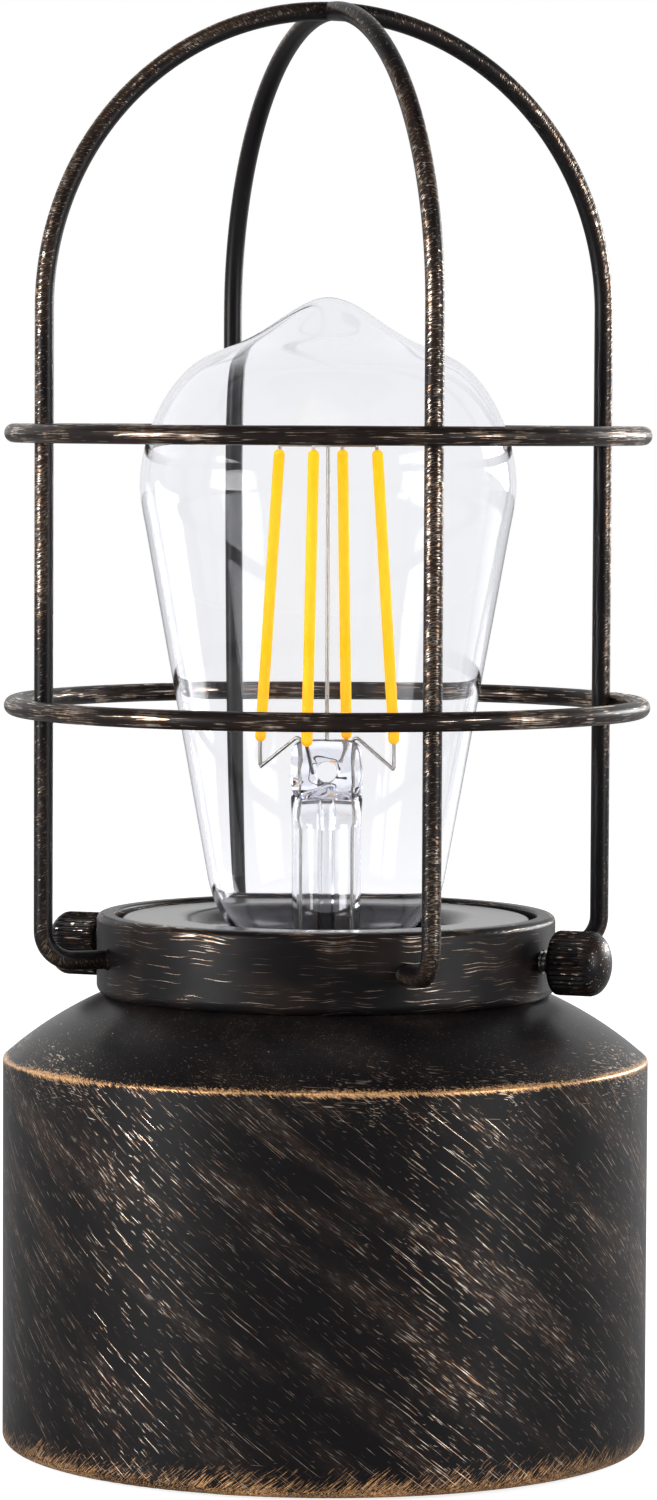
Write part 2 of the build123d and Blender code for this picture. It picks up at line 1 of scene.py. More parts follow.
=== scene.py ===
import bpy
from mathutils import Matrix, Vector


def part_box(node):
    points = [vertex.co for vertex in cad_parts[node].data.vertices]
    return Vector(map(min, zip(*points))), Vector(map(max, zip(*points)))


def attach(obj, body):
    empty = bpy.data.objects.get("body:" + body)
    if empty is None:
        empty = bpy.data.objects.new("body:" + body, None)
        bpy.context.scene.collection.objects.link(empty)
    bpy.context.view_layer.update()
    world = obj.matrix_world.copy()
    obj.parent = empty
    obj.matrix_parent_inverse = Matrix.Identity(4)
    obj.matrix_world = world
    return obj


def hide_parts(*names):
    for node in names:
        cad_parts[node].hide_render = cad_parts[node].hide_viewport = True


bl_info = {
    "name": "Cage Touch Lamp",
    "version": (1, 0, 0),
    "blender": (4, 5, 0),
    "location": "3D View > Sidebar > Lamp",
    "description": "Dresses a caged table lamp: brushed lacquer, wire cage, thumb screws, bulb and studio",
    "category": "Object",
}

from functools import partial
from math import cos, pi, radians, sin, tau

import bmesh
import bpy
import numpy as np
from bpy.props import FloatProperty, FloatVectorProperty, IntProperty, PointerProperty
from mathutils import Matrix

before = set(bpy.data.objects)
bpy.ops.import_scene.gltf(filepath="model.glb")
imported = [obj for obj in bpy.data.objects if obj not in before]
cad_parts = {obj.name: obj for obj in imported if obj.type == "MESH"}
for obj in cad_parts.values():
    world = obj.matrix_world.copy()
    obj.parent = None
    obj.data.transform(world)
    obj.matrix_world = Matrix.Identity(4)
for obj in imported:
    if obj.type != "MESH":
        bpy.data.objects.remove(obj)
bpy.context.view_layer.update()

MM = 0.001
UP = np.array([0.0, 0.0, 1.0])
MERGE = 1e-6
SHARP_ANGLE = radians(38)

# Points along and round the pieces
WIRE_SIDES = 28
FOOT_STEPS, BEND_STEPS, UPRIGHT_STEPS, RING_STEPS = 24, 14, 60, 240
STUD_SIDES, PITCH_STEPS = 40, 14
FACE_STEPS, EDGE_STEPS, GRIP_STEPS, DOME_STEPS, RIB_STEPS = 4, 10, 24, 28, 8
GLASS_SIDES = 192
NECK_STEPS, FLARE_STEPS, FLANK_STEPS, SWELL_STEPS, CROWN_STEPS = 6, 40, 30, 16, 90
STEM_SIDES, TAPER_STEPS, STEM_END_STEPS = 96, 24, 10
PINCH_SIDES, PINCH_SECTION_STEPS, EXHAUST_SIDES = 128, 64, 48
FILAMENT_SIDES, FILAMENT_END_STEPS = 20, 12
CAP_SIDES, CAP_FOOT_STEPS, CAP_WALL_STEPS = 96, 8, 90
FLOOR_SIDES, FLOOR_STEPS = 64, 12


def linear(code):
    """An sRGB hex colour as linear red, green, blue and alpha."""
    srgb = np.array([int(code[i:i + 2], 16) for i in (1, 3, 5)]) / 255
    rgb = np.where(srgb <= 0.04045, srgb / 12.92, ((srgb + 0.055) / 1.055) ** 2.4)
    return (*(float(v) for v in rgb), 1.0)


def length(name, description, millimetres):
    """A size that a user can change, given in millimetres."""
    return FloatProperty(name=name, description=description, default=millimetres * MM, min=0.0,
                         unit="LENGTH", precision=5)


def colour(name, description, code):
    """A colour that a user can change, given as sRGB hex."""
    return FloatVectorProperty(name=name, description=description, default=linear(code), size=4, min=0.0,
                               max=1.0, subtype="COLOR")


def angle(name, description, degrees):
    """An angle that a user can change, given in degrees."""
    return FloatProperty(name=name, description=description, default=radians(degrees), subtype="ANGLE")


def amount(name, description, default, low=0.0, **kind):
    """A plain number that a user can change."""
    return FloatProperty(name=name, description=description, default=default, min=low, **kind)


# Places taken from the frame
shell_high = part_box("base_shell")[1]
collar_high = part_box("cage_collar")[1]
hoop_low, hoop_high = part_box("main_hoop")
stud_low, stud_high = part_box("right_screw_stud")
knob_low, knob_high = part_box("right_thumb_knob")
glass_low, glass_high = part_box("bulb_glass")
cap_low, cap_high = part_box("bulb_cap")
stem_low, stem_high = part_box("bulb_stem")
exhaust_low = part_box("exhaust_tube")[0]
filament_low, filament_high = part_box("bulb_filaments")


def middle_height(node):
    """Height of a node's middle."""
    low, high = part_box(node)
    return (low.z + high.z) / 2


class FinishColours(bpy.types.PropertyGroup):
    """Colours of the lamp's finishes."""

    lacquer: colour("Lacquer", "Black-brown lacquer on the metal", "#100E10")
    brown: colour("Brown haze", "Lacquer where much copper was brushed over it", "#33261F")
    copper: colour("Copper", "Copper brush strokes", "#A88468")
    pale_copper: colour("Pale copper", "Brightest brush strokes", "#E6D8C8")
    rub: colour("Rubbed edge", "Copper rubbed on to edges", "#F2BA7E")
    cup: colour("Cup", "Satin charcoal of the neck cup", "#403D40")
    zinc: colour("Zinc", "Zinc plating on studs and fixings", "#C9C9C6")
    nickel: colour("Nickel", "Nickel wires in the bulb", "#9A9690")
    nickel_plate: colour("Nickel plate", "Plating of the bulb's cap and contact", "#D2CFC6")
    black_glass: colour("Black glass", "Insulator in the bulb's cap", "#141416")
    phosphor: colour("Phosphor", "Yellow coating of the filaments", "#FFB80C")
    glass: colour("Glass", "Tint that thick glass gives to light", "#A8B0DC")
    rubber: colour("Rubber", "Foot pad and grommet", "#1C1C1D")
    phenolic: colour("Phenolic", "Moulded lampholder", "#1A1716")
    brass: colour("Brass", "Contacts and screw sleeve", "#C8A45C")
    board: colour("Board", "Circuit board", "#1F5B36")
    case: colour("Case", "Touch unit's case", "#26262A")
    tape: colour("Tape", "Foam tape under the touch unit", "#CFCFCD")
    floor: colour("Floor", "Studio floor", "#D0D0D0")


class BrushSettings(bpy.types.PropertyGroup):
    """How copper is brushed on to the drum and the cage."""

    lean: amount("Lean", "How far strokes run round for each unit down", 1.25, low=-5.0)
    crease_height: length("Crease height", "Height of the drum's crease", 66.6)
    wear_low: length("Wear low", "Height at which the cage is worn least", 110)
    wear_high: length("Wear high", "Height from which the cage is worn most", 220)


class CageSizes(bpy.types.PropertyGroup):
    """Sizes of the wire cage."""

    wire_radius: length("Wire radius", "Radius of the cage wire", 1.6)
    bend_radius: length("Bend radius", "Bend at the foot of an upright", 5.2)
    foot_sink: length("Foot sink", "How far a foot enters the collar", 1.6)
    foot_flare: length("Foot flare", "How much wider a foot is where it is welded to the collar", 0.3)
    weld_sink: length("Weld sink", "How far a ring sinks into the uprights", 0.25)
    crown_butt: length("Crown butt", "Where a half hoop stops short of the axis", 0.5)
    hoop_angle: angle("Hoop angle", "Direction of the whole hoop from the thumb screws", 41)


class ScrewSizes(bpy.types.PropertyGroup):
    """Sizes of the thumb screws."""

    pitch: length("Pitch", "Thread pitch", 0.7)
    thread_depth: length("Thread depth", "Depth of the thread", 0.36)
    point: length("Point", "Bevel at the stud's tip", 0.8)
    bore_depth: length("Bore depth", "How deep the knob is bored", 4.7)
    bore_fit: length("Bore fit", "Gap between stud and bore", 0.05)
    edge_round: length("Edge round", "Rounding at the knob's inner end", 1.1)
    dome: length("Dome", "Height of the knob's domed end", 3.4)
    rib_depth: length("Rib depth", "Depth between the knob's ribs", 0.32)
    rib_climb: length("Rib climb", "How far the ribs climb the dome", 1.53)
    rib_fade: length("Rib fade", "Length over which the ribs fade out", 2.04)
    ribs: IntProperty(name="Ribs", description="Ribs round the knob", default=36, min=8)


class BulbSizes(bpy.types.PropertyGroup):
    """Sizes and glass of the bulb; heights are measured down from its tip or up from its cap."""

    wall: length("Glass wall", "Thickness of the glass", 0.8)
    neck_fit: length("Neck fit", "Gap between neck and cap", 0.05)
    cap_wall: length("Cap wall", "Thickness of the cap's metal", 0.35)
    neck_show: length("Neck show", "Straight neck above the cap", 0.6)
    throat_radius: length("Throat radius", "Radius part way up the neck's flare", 16.9)
    throat_rise: length("Throat rise", "Throat above the straight neck", 7.0)
    waist_radius: length("Waist radius", "Radius where the straight flank starts", 20.25)
    waist_rise: length("Waist rise", "Waist above the throat", 8.0)
    cone_inset: length("Flank inset", "Top of the flank inside the widest radius", 1.2)
    cone_drop: length("Flank drop", "Top of the flank below the widest place", 8.0)
    dome_height: length("Dome height", "Tip above the widest place", 32.0)
    crown_inset: length("Crown inset", "Crown inside the widest radius", 4.3)
    crown_drop: length("Crown drop", "Crown below the tip", 17.0)
    brow_inset: length("Brow inset", "Brow inside the widest radius", 9.8)
    brow_drop: length("Brow drop", "Brow below the tip", 10.9)
    saddle_radius: length("Saddle radius", "Hollow round the nose", 14.0)
    saddle_drop: length("Saddle drop", "Hollow below the tip", 7.2)
    nose_radius: length("Nose radius", "Radius of the nose", 6.8)
    nose_drop: length("Nose drop", "Nose below the tip", 2.7)
    thin_index: amount("Thin glass index", "Refractive index of the envelope", 1.2)
    pressed_index: amount("Pressed glass index", "Refractive index of the stem and exhaust tube", 1.5)
    absorption: amount("Absorption", "How strongly a metre of glass tints light", 60.0)
    thread_pitch: length("Cap pitch", "Pitch of the rolled cap thread", 25.4 / 7)
    thread_depth: length("Cap thread depth", "Depth of the rolled cap thread", 0.75)
    cap_round: length("Cap round", "Rounding at the cap's foot", 1.0)
    cap_hole: length("Cap hole", "Radius of the hole that the black glass fills", 6.6)
    plain_foot: length("Plain foot", "Cap's wall below the thread", 2.5)
    plain_top: length("Plain top", "Cap's wall above the thread, round the neck", 4.6)
    turned: angle("Turned", "How far the bulb stands turned when it is screwed tight", 21.2)
    stem_radius: length("Stem radius", "Outside radius of the glass stem", 5.9)
    stem_wall: length("Stem wall", "Thickness of the stem's glass", 0.8)
    flare_round: length("Flare round", "Rounding where the stem meets its flare", 5.0)
    pinch_width: length("Pinch width", "Width of the flat pinch", 12.2)
    pinch_thickness: length("Pinch thickness", "Thickness of the flat pinch", 4.4)
    pinch_height: length("Pinch height", "Height of the flat pinch", 10.0)
    pinch_taper: length("Pinch taper", "Height over which the stem is drawn in", 4.5)
    pinch_sink: length("Pinch sink", "How far the pinch runs into the stem's top", 0.5)
    pinch_lump: length("Pinch lump", "How far the pressed glass rises and dips", 0.28)
    eye_radius: length("Eye radius", "Radius of the eye in the pinch", 1.7)
    eye_drop: length("Eye drop", "Eye below the top of the pinch", 5.6)
    exhaust_radius: length("Exhaust radius", "Outside radius of the exhaust tube", 1.5)
    exhaust_wall: length("Exhaust wall", "Thickness of the exhaust tube's glass", 0.5)
    filament_radius: length("Filament radius", "Radius of a filament", 0.95)
    filament_foot: length("Filament foot", "Distance of a filament's foot from the axis", 11.9)
    filament_head: length("Filament head", "Distance of a filament's head from the axis", 8.65)
    filament_turn: angle("Filament turn", "Direction of the first filament from the pinch", -16.5)


class StageSettings(bpy.types.PropertyGroup):
    """Camera, floor and lights."""

    azimuth: angle("Azimuth", "Camera's turn round the lamp from the front", 21.16)
    pitch: angle("Pitch", "How far the camera looks down", 3.39)
    roll: angle("Roll", "Camera's turn about its own axis", 0.28)
    distance: length("Distance", "Camera's distance from the lamp's axis", 968.83)
    height: length("Height", "Camera's height above the table", 176.41)
    aside: length("Aside", "Camera's place to the right of the axis", 0.28)
    lens: amount("Lens", "Focal length", 136.76, low=1.0, subtype="DISTANCE_CAMERA")
    sensor: amount("Sensor", "Sensor height", 36.0, low=1.0, subtype="DISTANCE_CAMERA")
    floor_radius: length("Floor radius", "Radius of the studio floor", 4000)
    aim_height: length("Aim height", "Height that the lights are turned to", 120)
    ambient: amount("Ambient", "Light from all round", 0.3)
    front_level: amount("Front level", "Brightness of the studio behind the camera", 0.04)
    floor_glow: amount("Floor glow", "Lifts the floor to white", 0.82)
    glass_glow: amount("Glass glow", "Lifts the floor that shows through glass", 0.735)
    glass_level: amount("Glass level", "Level of the room that shows through glass", 0.94)


# Meshes


def grid_object(name, points, looped=False, field=None):
    """Object from a grid of points (rows, columns, xyz), or several, with a quad between four neighbours.

    The last column is tied to the first, and `looped` ties the last row to the first. Rows that shrink to a
    point are merged. `field` is a vector kept for each point under the name "straight".
    """
    index = np.arange(points.size // 3).reshape(-1, *points.shape[-3:-1])
    index = np.concatenate([index, index[:, :, :1]], axis=2)
    if looped:
        index = np.concatenate([index, index[:, :1]], axis=1)
    corners = [index[:, :-1, :-1], index[:, :-1, 1:], index[:, 1:, 1:], index[:, 1:, :-1]]
    mesh = bpy.data.meshes.new(name)
    mesh.from_pydata(points.reshape(-1, 3), [], np.stack(corners, axis=-1).reshape(-1, 4))
    if field is not None:
        mesh.attributes.new("straight", "FLOAT_VECTOR", "POINT").data.foreach_set("vector", field.ravel())
    edit = bmesh.new()
    edit.from_mesh(mesh)
    bmesh.ops.remove_doubles(edit, verts=edit.verts, dist=MERGE)
    bmesh.ops.recalc_face_normals(edit, faces=edit.faces)
    edit.to_mesh(mesh)
    edit.free()
    mesh.shade_smooth()
    mesh.set_sharp_from_angle(angle=SHARP_ANGLE)
    piece = bpy.data.objects.new(name, mesh)
    bpy.context.scene.collection.objects.link(piece)
    return piece


def stand_for(piece, material, body, slot, *nodes):
    """Give a piece its material and body, and hide the CAD nodes that it replaces; `slot` is not used."""
    piece.data.materials.append(material)
    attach(piece, body)
    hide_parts(*nodes)


def dress(material, *nodes):
    """Give CAD nodes a material."""
    for name in nodes:
        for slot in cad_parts[name].material_slots:
            slot.material = material


def steps(count, start=0.0, stop=1.0):
    """Even steps between two numbers or two points, with both ends."""
    return np.linspace(start, stop, count)


def around(count):
    """Even angles round a whole turn."""
    return np.arange(count) / count * tau


def quarter(count):
    """Even angles from 0 to a quarter turn, with both ends."""
    return np.radians(steps(count, 0, 90))


def turn(profile, count):
    """Grid from a profile (radius, height) turned about Z: x = r cos t, y = r sin t."""
    t = around(count)
    radius, height = profile[:, :1], profile[:, 1:]
    return np.stack([radius * np.cos(t), radius * np.sin(t), height + 0 * t], axis=-1)


def arc(centre, radius, start, stop, count):
    """Points on a circular arc in a plane, from one angle to another in degrees."""
    t = np.radians(steps(count, start, stop))
    return np.stack([centre[0] + radius * np.cos(t), centre[1] + radius * np.sin(t)], axis=-1)


def smooth_line(knots, leave, arrive, count):
    """Points on a curve through knots, with set directions at both ends.

    Each stretch is a cubic in the chord length, and the slopes at the knots in between are solved so that
    the curvature is continuous.
    """
    knots = np.asarray(knots, float)
    span = np.linalg.norm(np.diff(knots, axis=0), axis=1)
    place = np.concatenate([[0.0], np.cumsum(span)])
    rate = np.diff(knots, axis=0) / span[:, None]
    size = len(knots)
    system = np.eye(size)
    slopes = np.zeros((size, 2))
    slopes[0], slopes[-1] = leave, arrive
    inner = np.arange(1, size - 1)
    system[inner, inner - 1] = 1 / span[:-1]
    system[inner, inner] = 2 / span[:-1] + 2 / span[1:]
    system[inner, inner + 1] = 1 / span[1:]
    slopes[1:-1] = 3 * (rate[:-1] / span[:-1, None] + rate[1:] / span[1:, None])
    slopes = np.linalg.solve(system, slopes)
    at = steps(count, 0, place[-1])
    i = np.clip(np.searchsorted(place, at, side="right") - 1, 0, size - 2)
    h = span[i, None]
    s = (at[:, None] - place[i, None]) / h
    return (knots[i] * (1 + 2 * s) * (1 - s) ** 2 + knots[i + 1] * s ** 2 * (3 - 2 * s)
            + slopes[i] * h * s * (1 - s) ** 2 - slopes[i + 1] * h * s ** 2 * (1 - s))


def wire_grid(path, radius, side, flare, root):
    """Round wire along a flat path: each row is a circle of two directions, `side` and the one square to it.

    The radius grows by `flare` at `root`, the distance from an end at which the wire leaves what it is
    welded to, and that growth dies away as a bell curve.

    Returns the grid and the place that each point would have if the wire were straight, which is the outward
    part and the sideways part of the circle, and the length along the wire.
    """
    along = np.gradient(path, axis=0)
    along /= np.linalg.norm(along, axis=1)[:, None]
    out = np.cross(side, along)
    t = around(WIRE_SIDES)
    run = np.concatenate([[0.0], np.cumsum(np.linalg.norm(np.diff(path, axis=0), axis=1))])
    thickness = radius + flare * np.exp(-(np.maximum(run - root, 0) / flare) ** 2)
    if path[-1, 2] < path.max(axis=0)[2] - root:
        thickness += flare * np.exp(-(np.maximum(run[-1] - root - run, 0) / flare) ** 2)
    circle = np.cos(t)[:, None] * out[:, None, :] + np.sin(t)[:, None] * side
    grid = path[:, None, :] + thickness[:, None, None] * circle
    flat = np.stack(np.broadcast_arrays(radius * np.cos(t), radius * np.sin(t), run[:, None]), axis=-1)
    ends = [np.repeat(path[i][None, None, :], WIRE_SIDES, axis=1) for i in (0, -1)]
    return np.vstack([ends[0], grid, ends[1]]), np.vstack([flat[:1], flat, flat[-1:]])


# Materials

# Settings of the nodes that are used most; MapRange takes a value, its two ends and what they give
TIMES = {"operation": "MULTIPLY"}
TIMES_PLUS = {"operation": "MULTIPLY_ADD"}
PLUS = {"operation": "ADD"}
MINUS = {"operation": "SUBTRACT"}
MOST = {"operation": "MAXIMUM"}
SMOOTH = {"interpolation_type": "SMOOTHSTEP"}
COLOURED = {"data_type": "RGBA", "out": 2}


def add_node(tree, kind, inputs=(), out=0, **settings):
    """Add a shader node with its settings, and return one of its outputs.

    Inputs are values to set or sockets to link, in order, or by name or number.
    """
    node = tree.nodes.new(f"ShaderNode{kind}")
    for key, value in settings.items():
        setattr(node, key, value)
    for key, value in inputs.items() if isinstance(inputs, dict) else enumerate(inputs):
        if isinstance(value, bpy.types.NodeSocket):
            tree.links.new(value, node.inputs[key])
        else:
            node.inputs[key].default_value = value
    return node.outputs[out] if node.outputs else None


def new_material(name):
    """Empty node material, and the function that adds nodes to it."""
    material = bpy.data.materials.new(name)
    material.use_nodes = True
    material.node_tree.nodes.clear()
    return material, partial(add_node, material.node_tree)


def close(add, inputs, **ends):
    """Finish a material with one surface shader, and what fills it where it is glass."""
    add("OutputMaterial", {"Surface": add("BsdfPrincipled", inputs), **ends})


def grain(add, vector, size, detail=2.0):
    """Noise from 0 to 1 whose grains have a size in millimetres, or one along each axis."""
    scaled = add("Mapping", {"Vector": vector, "Scale": [1 / (s * MM) for s in np.broadcast_to(size, 3)]})
    return add("TexNoise", {"Vector": scaled, "Scale": 1.0, "Detail": detail, "Roughness": 0.55}, "Fac")


def patches(add, vector, size, low, high, detail=2.0):
    """Patches of a size: 0 where the grain is below `low`, 1 where it is above `high`, smooth between."""
    value = grain(add, vector, size, detail)
    return add("MapRange", [value, low, high], **SMOOTH)


def strokes(add, vector, size, cover=0.0):
    """Dry-brush strokes: stretched noise kept where it rises above a limit, which `cover` lowers.

    A second, coarser noise leaves some strokes fainter than others.
    """
    value = add("Math", [grain(add, vector, size, 0.5), cover], **PLUS)
    kept = add("MapRange", [value, 0.67, 0.73], **SMOOTH)
    strength = patches(add, vector, [3 * s for s in size], low=0.2, high=0.6, detail=0.0)
    return add("Math", [kept, strength], **TIMES)


def lacquer_finish(add, colours, vector, stroke, haze, rub=0.0):
    """Satin lacquer with copper brushed over it.

    Dark lacquer gives a soft sheen at glancing angles; the strokes are bare copper, which flashes where it
    mirrors a light and is dim elsewhere, and rubbed edges hold a thicker, duller coat. A powder grain breaks
    up the reflections; it is drawn coarser than the real one, which is too fine to show.
    """
    ground = add("Mix", {0: haze, 6: colours.lacquer, 7: colours.brown}, **COLOURED)
    tone = patches(add, vector, 1.4, low=0.35, high=0.65)
    tint = add("Mix", {0: tone, 6: colours.copper, 7: colours.pale_copper}, **COLOURED)
    brushed = add("Mix", {0: stroke, 6: ground, 7: tint}, **COLOURED)
    hair = patches(add, vector, 0.35, low=0.36, high=0.6, detail=1.0)
    worn_edge = add("Mix", {0: hair, 6: colours.copper, 7: colours.rub}, **COLOURED)
    shown = add("Mix", {0: rub, 6: brushed, 7: worn_edge}, **COLOURED)
    bare = add("Math", [stroke, rub], **MOST)
    height = add("Math", [grain(add, vector, 0.25), 0.6, bare], **TIMES_PLUS)
    bump = add("Bump", {"Strength": 0.2, "Distance": 0.05 * MM, "Height": height})
    polish = add("MapRange", {"Value": bare, "To Min": 0.36, "To Max": 0.27})
    coated = add("MapRange", [bare, 0.0, 0.3], **SMOOTH)
    plated = add("Math", [rub, -0.6, coated], **TIMES_PLUS)
    close(add, {"Base Color": shown, "Metallic": plated, "Roughness": polish, "Specular IOR Level": 0.14,
                "Normal": bump})


def wound_about_axis(add, place, rate, stray):
    """Coordinates turned about Z in step with height, so that upright strokes lean with no seam.

    `rate` is the turn in radians per metre, and `stray` makes the strokes waver.
    """
    height = add("SeparateXYZ", [place], out=2)
    wound = add("Math", [height, rate], **TIMES)
    turned = add("Math", [grain(add, place, 14), stray, wound], **TIMES_PLUS)
    return add("VectorRotate", {"Vector": place, "Angle": turned}, rotation_type="Z_AXIS")


def drum_lacquer(colours, brush):
    """Brushed lacquer on the spun drum: strokes wind down it, with rubbed copper along crease and foot."""
    material, add = new_material("lacquered_steel_brushed")
    place = add("TexCoord", out="Object")
    z = add("SeparateXYZ", [place], out=2)
    rate = brush.lean / shell_high.x
    wound = wound_about_axis(add, place, rate, stray=0.02)
    patch = patches(add, wound, (11, 11, 22), low=0.45, high=0.68)
    worn = patches(add, place, 24, low=0.36, high=0.62)
    on_wall = add("MapRange", [z, brush.crease_height + 3 * MM, brush.crease_height, 0.28])
    brushed_patch = add("Math", [patch, on_wall], **TIMES)

    # Long strokes, short ones in patches, and copper dust between them
    sparse = strokes(add, wound, (0.25, 0.25, 5.5), cover=-0.035)
    cover = add("Math", [patch, 0.07, -0.045], **TIMES_PLUS)
    fine = strokes(add, wound, (0.18, 0.18, 1.8), cover)
    brushed = add("Math", [sparse, add("Math", [fine, 0.8], **TIMES)], **MOST)
    brushed = add("Math", [brushed, on_wall], **TIMES)
    dust = patches(add, wound, (0.3, 0.3, 1.0), low=0.4, high=0.7)
    dust = add("Math", [dust, add("Math", [brushed_patch, 0.05], **TIMES)], **TIMES)

    # Strokes round the drum that thin out away from the crease
    off_crease = add("Math", [z, brush.crease_height], **MINUS)
    off_crease = add("Math", [off_crease], operation="ABSOLUTE")
    near_crease = add("MapRange", [off_crease, 10 * MM, 1 * MM], **SMOOTH)
    cover = add("Math", [near_crease, worn], **TIMES)
    cover = add("Math", [cover, 0.19, -0.12], **TIMES_PLUS)
    feather = strokes(add, wound_about_axis(add, place, 3 * rate, stray=0.25), (0.8, 0.8, 0.3), cover)
    feather = add("Math", [feather, 0.8], **TIMES)
    stroke = add("Math", [add("Math", [brushed, dust], **MOST), feather], **MOST)

    # Ragged rub along the crease, wider where it is worn
    jag, swell = 2.4 * MM, 0.35 * MM
    ragged = grain(add, wound, (0.3, 0.3, 1.8))
    ragged = add("Math", [ragged, jag, -jag / 2], **TIMES_PLUS)
    narrow = add("Math", [worn, -swell, 0.6 * swell], **TIMES_PLUS)
    ragged = add("Math", [ragged, add("Math", [off_crease, narrow], **PLUS)], **PLUS)
    crease = add("MapRange", [ragged, 0.5 * MM, 0.1 * MM], **SMOOTH)

    # Hatching that climbs from the foot, higher and thicker where it is worn
    climb = 17 * MM
    hatch = grain(add, wound_about_axis(add, place, -rate, stray=0.06), (0.16, 0.16, 2), 1.0)
    hatch = add("Math", [hatch, climb, -climb / 2], **TIMES_PLUS)
    reach = add("Math", [worn, -1 * MM, add("Math", [z, hatch], **PLUS)], **TIMES_PLUS)
    foot = add("MapRange", [reach, 2 * MM, 0.2 * MM], **SMOOTH)
    foot = add("Math", [foot, add("MapRange", {"Value": worn, "To Min": 0.7})], **TIMES)

    haze = add("Math", [brushed_patch, 0.28], **TIMES)
    lacquer_finish(add, colours, place, stroke, haze, add("Math", [crease, foot], **MOST))
    return material


def collar_lacquer(colours):
    """Brushed lacquer on the turned collar: strokes run round it in slow waves, thickest along its edges."""
    material, add = new_material("lacquered_collar_brushed")
    place = add("TexCoord", out="Object")
    wave = add("Math", [grain(add, place, 11, detail=1.0), 3 * MM], **TIMES)
    waved = add("VectorMath", [place, add("CombineXYZ", {2: wave})], **PLUS)
    patch = patches(add, place, (13, 13, 8), low=0.4, high=0.66)
    height = add("SeparateXYZ", [place], out=2)
    off_middle = add("Math", [height, middle_height("cage_collar")], **MINUS)
    off_middle = add("Math", [off_middle], operation="ABSOLUTE")
    edge = add("MapRange", [off_middle, 4.5 * MM, 6.6 * MM], **SMOOTH)
    edge_cover = add("Math", [edge, 0.06, -0.045], **TIMES_PLUS)
    cover = add("Math", [patch, 0.08, edge_cover], **TIMES_PLUS)
    stroke = add("Math", [strokes(add, waved, (8, 8, 0.11), cover), 0.6], **TIMES)
    lacquer_finish(add, colours, place, stroke, haze=add("Math", [patch, 0.3], **TIMES))
    return material


def wire_lacquer(colours, brush):
    """Brushed lacquer on drawn wire: short strokes across it, thickest outwards and high on the cage.

    The pattern lies on the straightened wire, so that it follows every bend.
    """
    material, add = new_material("lacquered_wire_brushed")
    place = add("Attribute", out="Vector", attribute_name="straight")
    outward = add("SeparateXYZ", [place])
    facing = add("MapRange", [outward, -0.9 * MM, 0.6 * MM], **SMOOTH)
    patch = patches(add, place, (4, 4, 26), low=0.34, high=0.6)
    patch = add("Math", [patch, facing], **TIMES)
    lean = add("VectorRotate", {"Vector": place, "Angle": 0.5}, rotation_type="Y_AXIS")
    cover = add("Math", [patch, 0.18], **TIMES)
    across = strokes(add, lean, (0.8, 0.8, 0.14), cover)
    height = add("SeparateXYZ", [add("TexCoord", out="Object")], out=2)
    worn = add("MapRange", [height, brush.wear_low, brush.wear_high, 0.36, 0.76])
    stroke = add("Math", [add("Math", [across, facing], **TIMES), worn], **TIMES)
    haze = add("Math", [add("Math", [patch, worn], **TIMES), 1.25], **TIMES)
    lacquer_finish(add, colours, place, stroke, haze)
    return material


def ring_lacquer(colours):
    """Brushed lacquer on the rings: a little brown all over, with sparse strokes that run along them."""
    material, add = new_material("lacquered_ring_brushed")
    place = add("TexCoord", out="Object")
    patch = patches(add, place, 10, low=0.4, high=0.66)
    cover = add("Math", [patch, 0.2], **TIMES)
    stroke = add("Math", [strokes(add, place, (5, 5, 0.13), cover), 0.85], **TIMES)
    lacquer_finish(add, colours, place, stroke, haze=add("Math", [patch, 0.4, 0.25], **TIMES_PLUS))
    return material


def knob_lacquer(colours):
    """Brushed lacquer on the ribbed knobs: faint copper on the crests of the ribs."""
    material, add = new_material("lacquered_knob_brushed")
    place = add("TexCoord", out="Object")
    height = add("SeparateXYZ", [add("Attribute", out="Vector", attribute_name="straight")])
    crest = add("MapRange", [height, 0.5, 1.0], **SMOOTH)
    patch = patches(add, place, 3, low=0.4, high=0.66)
    worn = add("Math", [crest, patch], **TIMES)
    cover = add("Math", [worn, 0.16], **TIMES)
    stroke = strokes(add, place, (1.6, 0.3, 0.3), cover)
    haze = add("Math", [worn, add("Math", [patch, 0.4], **TIMES)], **MOST)
    lacquer_finish(add, colours, place, stroke, haze)
    return material


def metal(name, tint, roughness, size):
    """Plain metal, a little duller in grains of a size in millimetres.

    Grains are drawn coarser than those of the real metal, which are too fine to show.
    """
    material, add = new_material(name)
    tone = grain(add, add("TexCoord", out="Object"), size)
    dull = [c * 0.72 for c in tint[:3]] + [1.0]
    shown = add("Mix", {0: tone, 6: dull, 7: tint}, **COLOURED)
    rough = add("MapRange", {"Value": tone, "To Min": roughness * 0.7, "To Max": roughness * 1.3})
    close(add, {"Base Color": shown, "Metallic": 1.0, "Roughness": rough})
    return material


def moulded(name, tint, roughness, size, relief=0.2):
    """Moulded or painted stuff with a skin grain in millimetres, drawn as coarse as it needs to show."""
    material, add = new_material(name)
    tone = grain(add, add("TexCoord", out="Object"), size)
    dull = [c * 0.75 for c in tint[:3]] + [1.0]
    shown = add("Mix", {0: tone, 6: dull, 7: tint}, **COLOURED)
    bump = add("Bump", {"Strength": relief, "Distance": 0.05 * MM, "Height": tone})
    rough = add("MapRange", {"Value": tone, "To Min": roughness * 0.8, "To Max": roughness * 1.2})
    close(add, {"Base Color": shown, "Roughness": rough, "Specular IOR Level": 0.4, "Normal": bump})
    return material


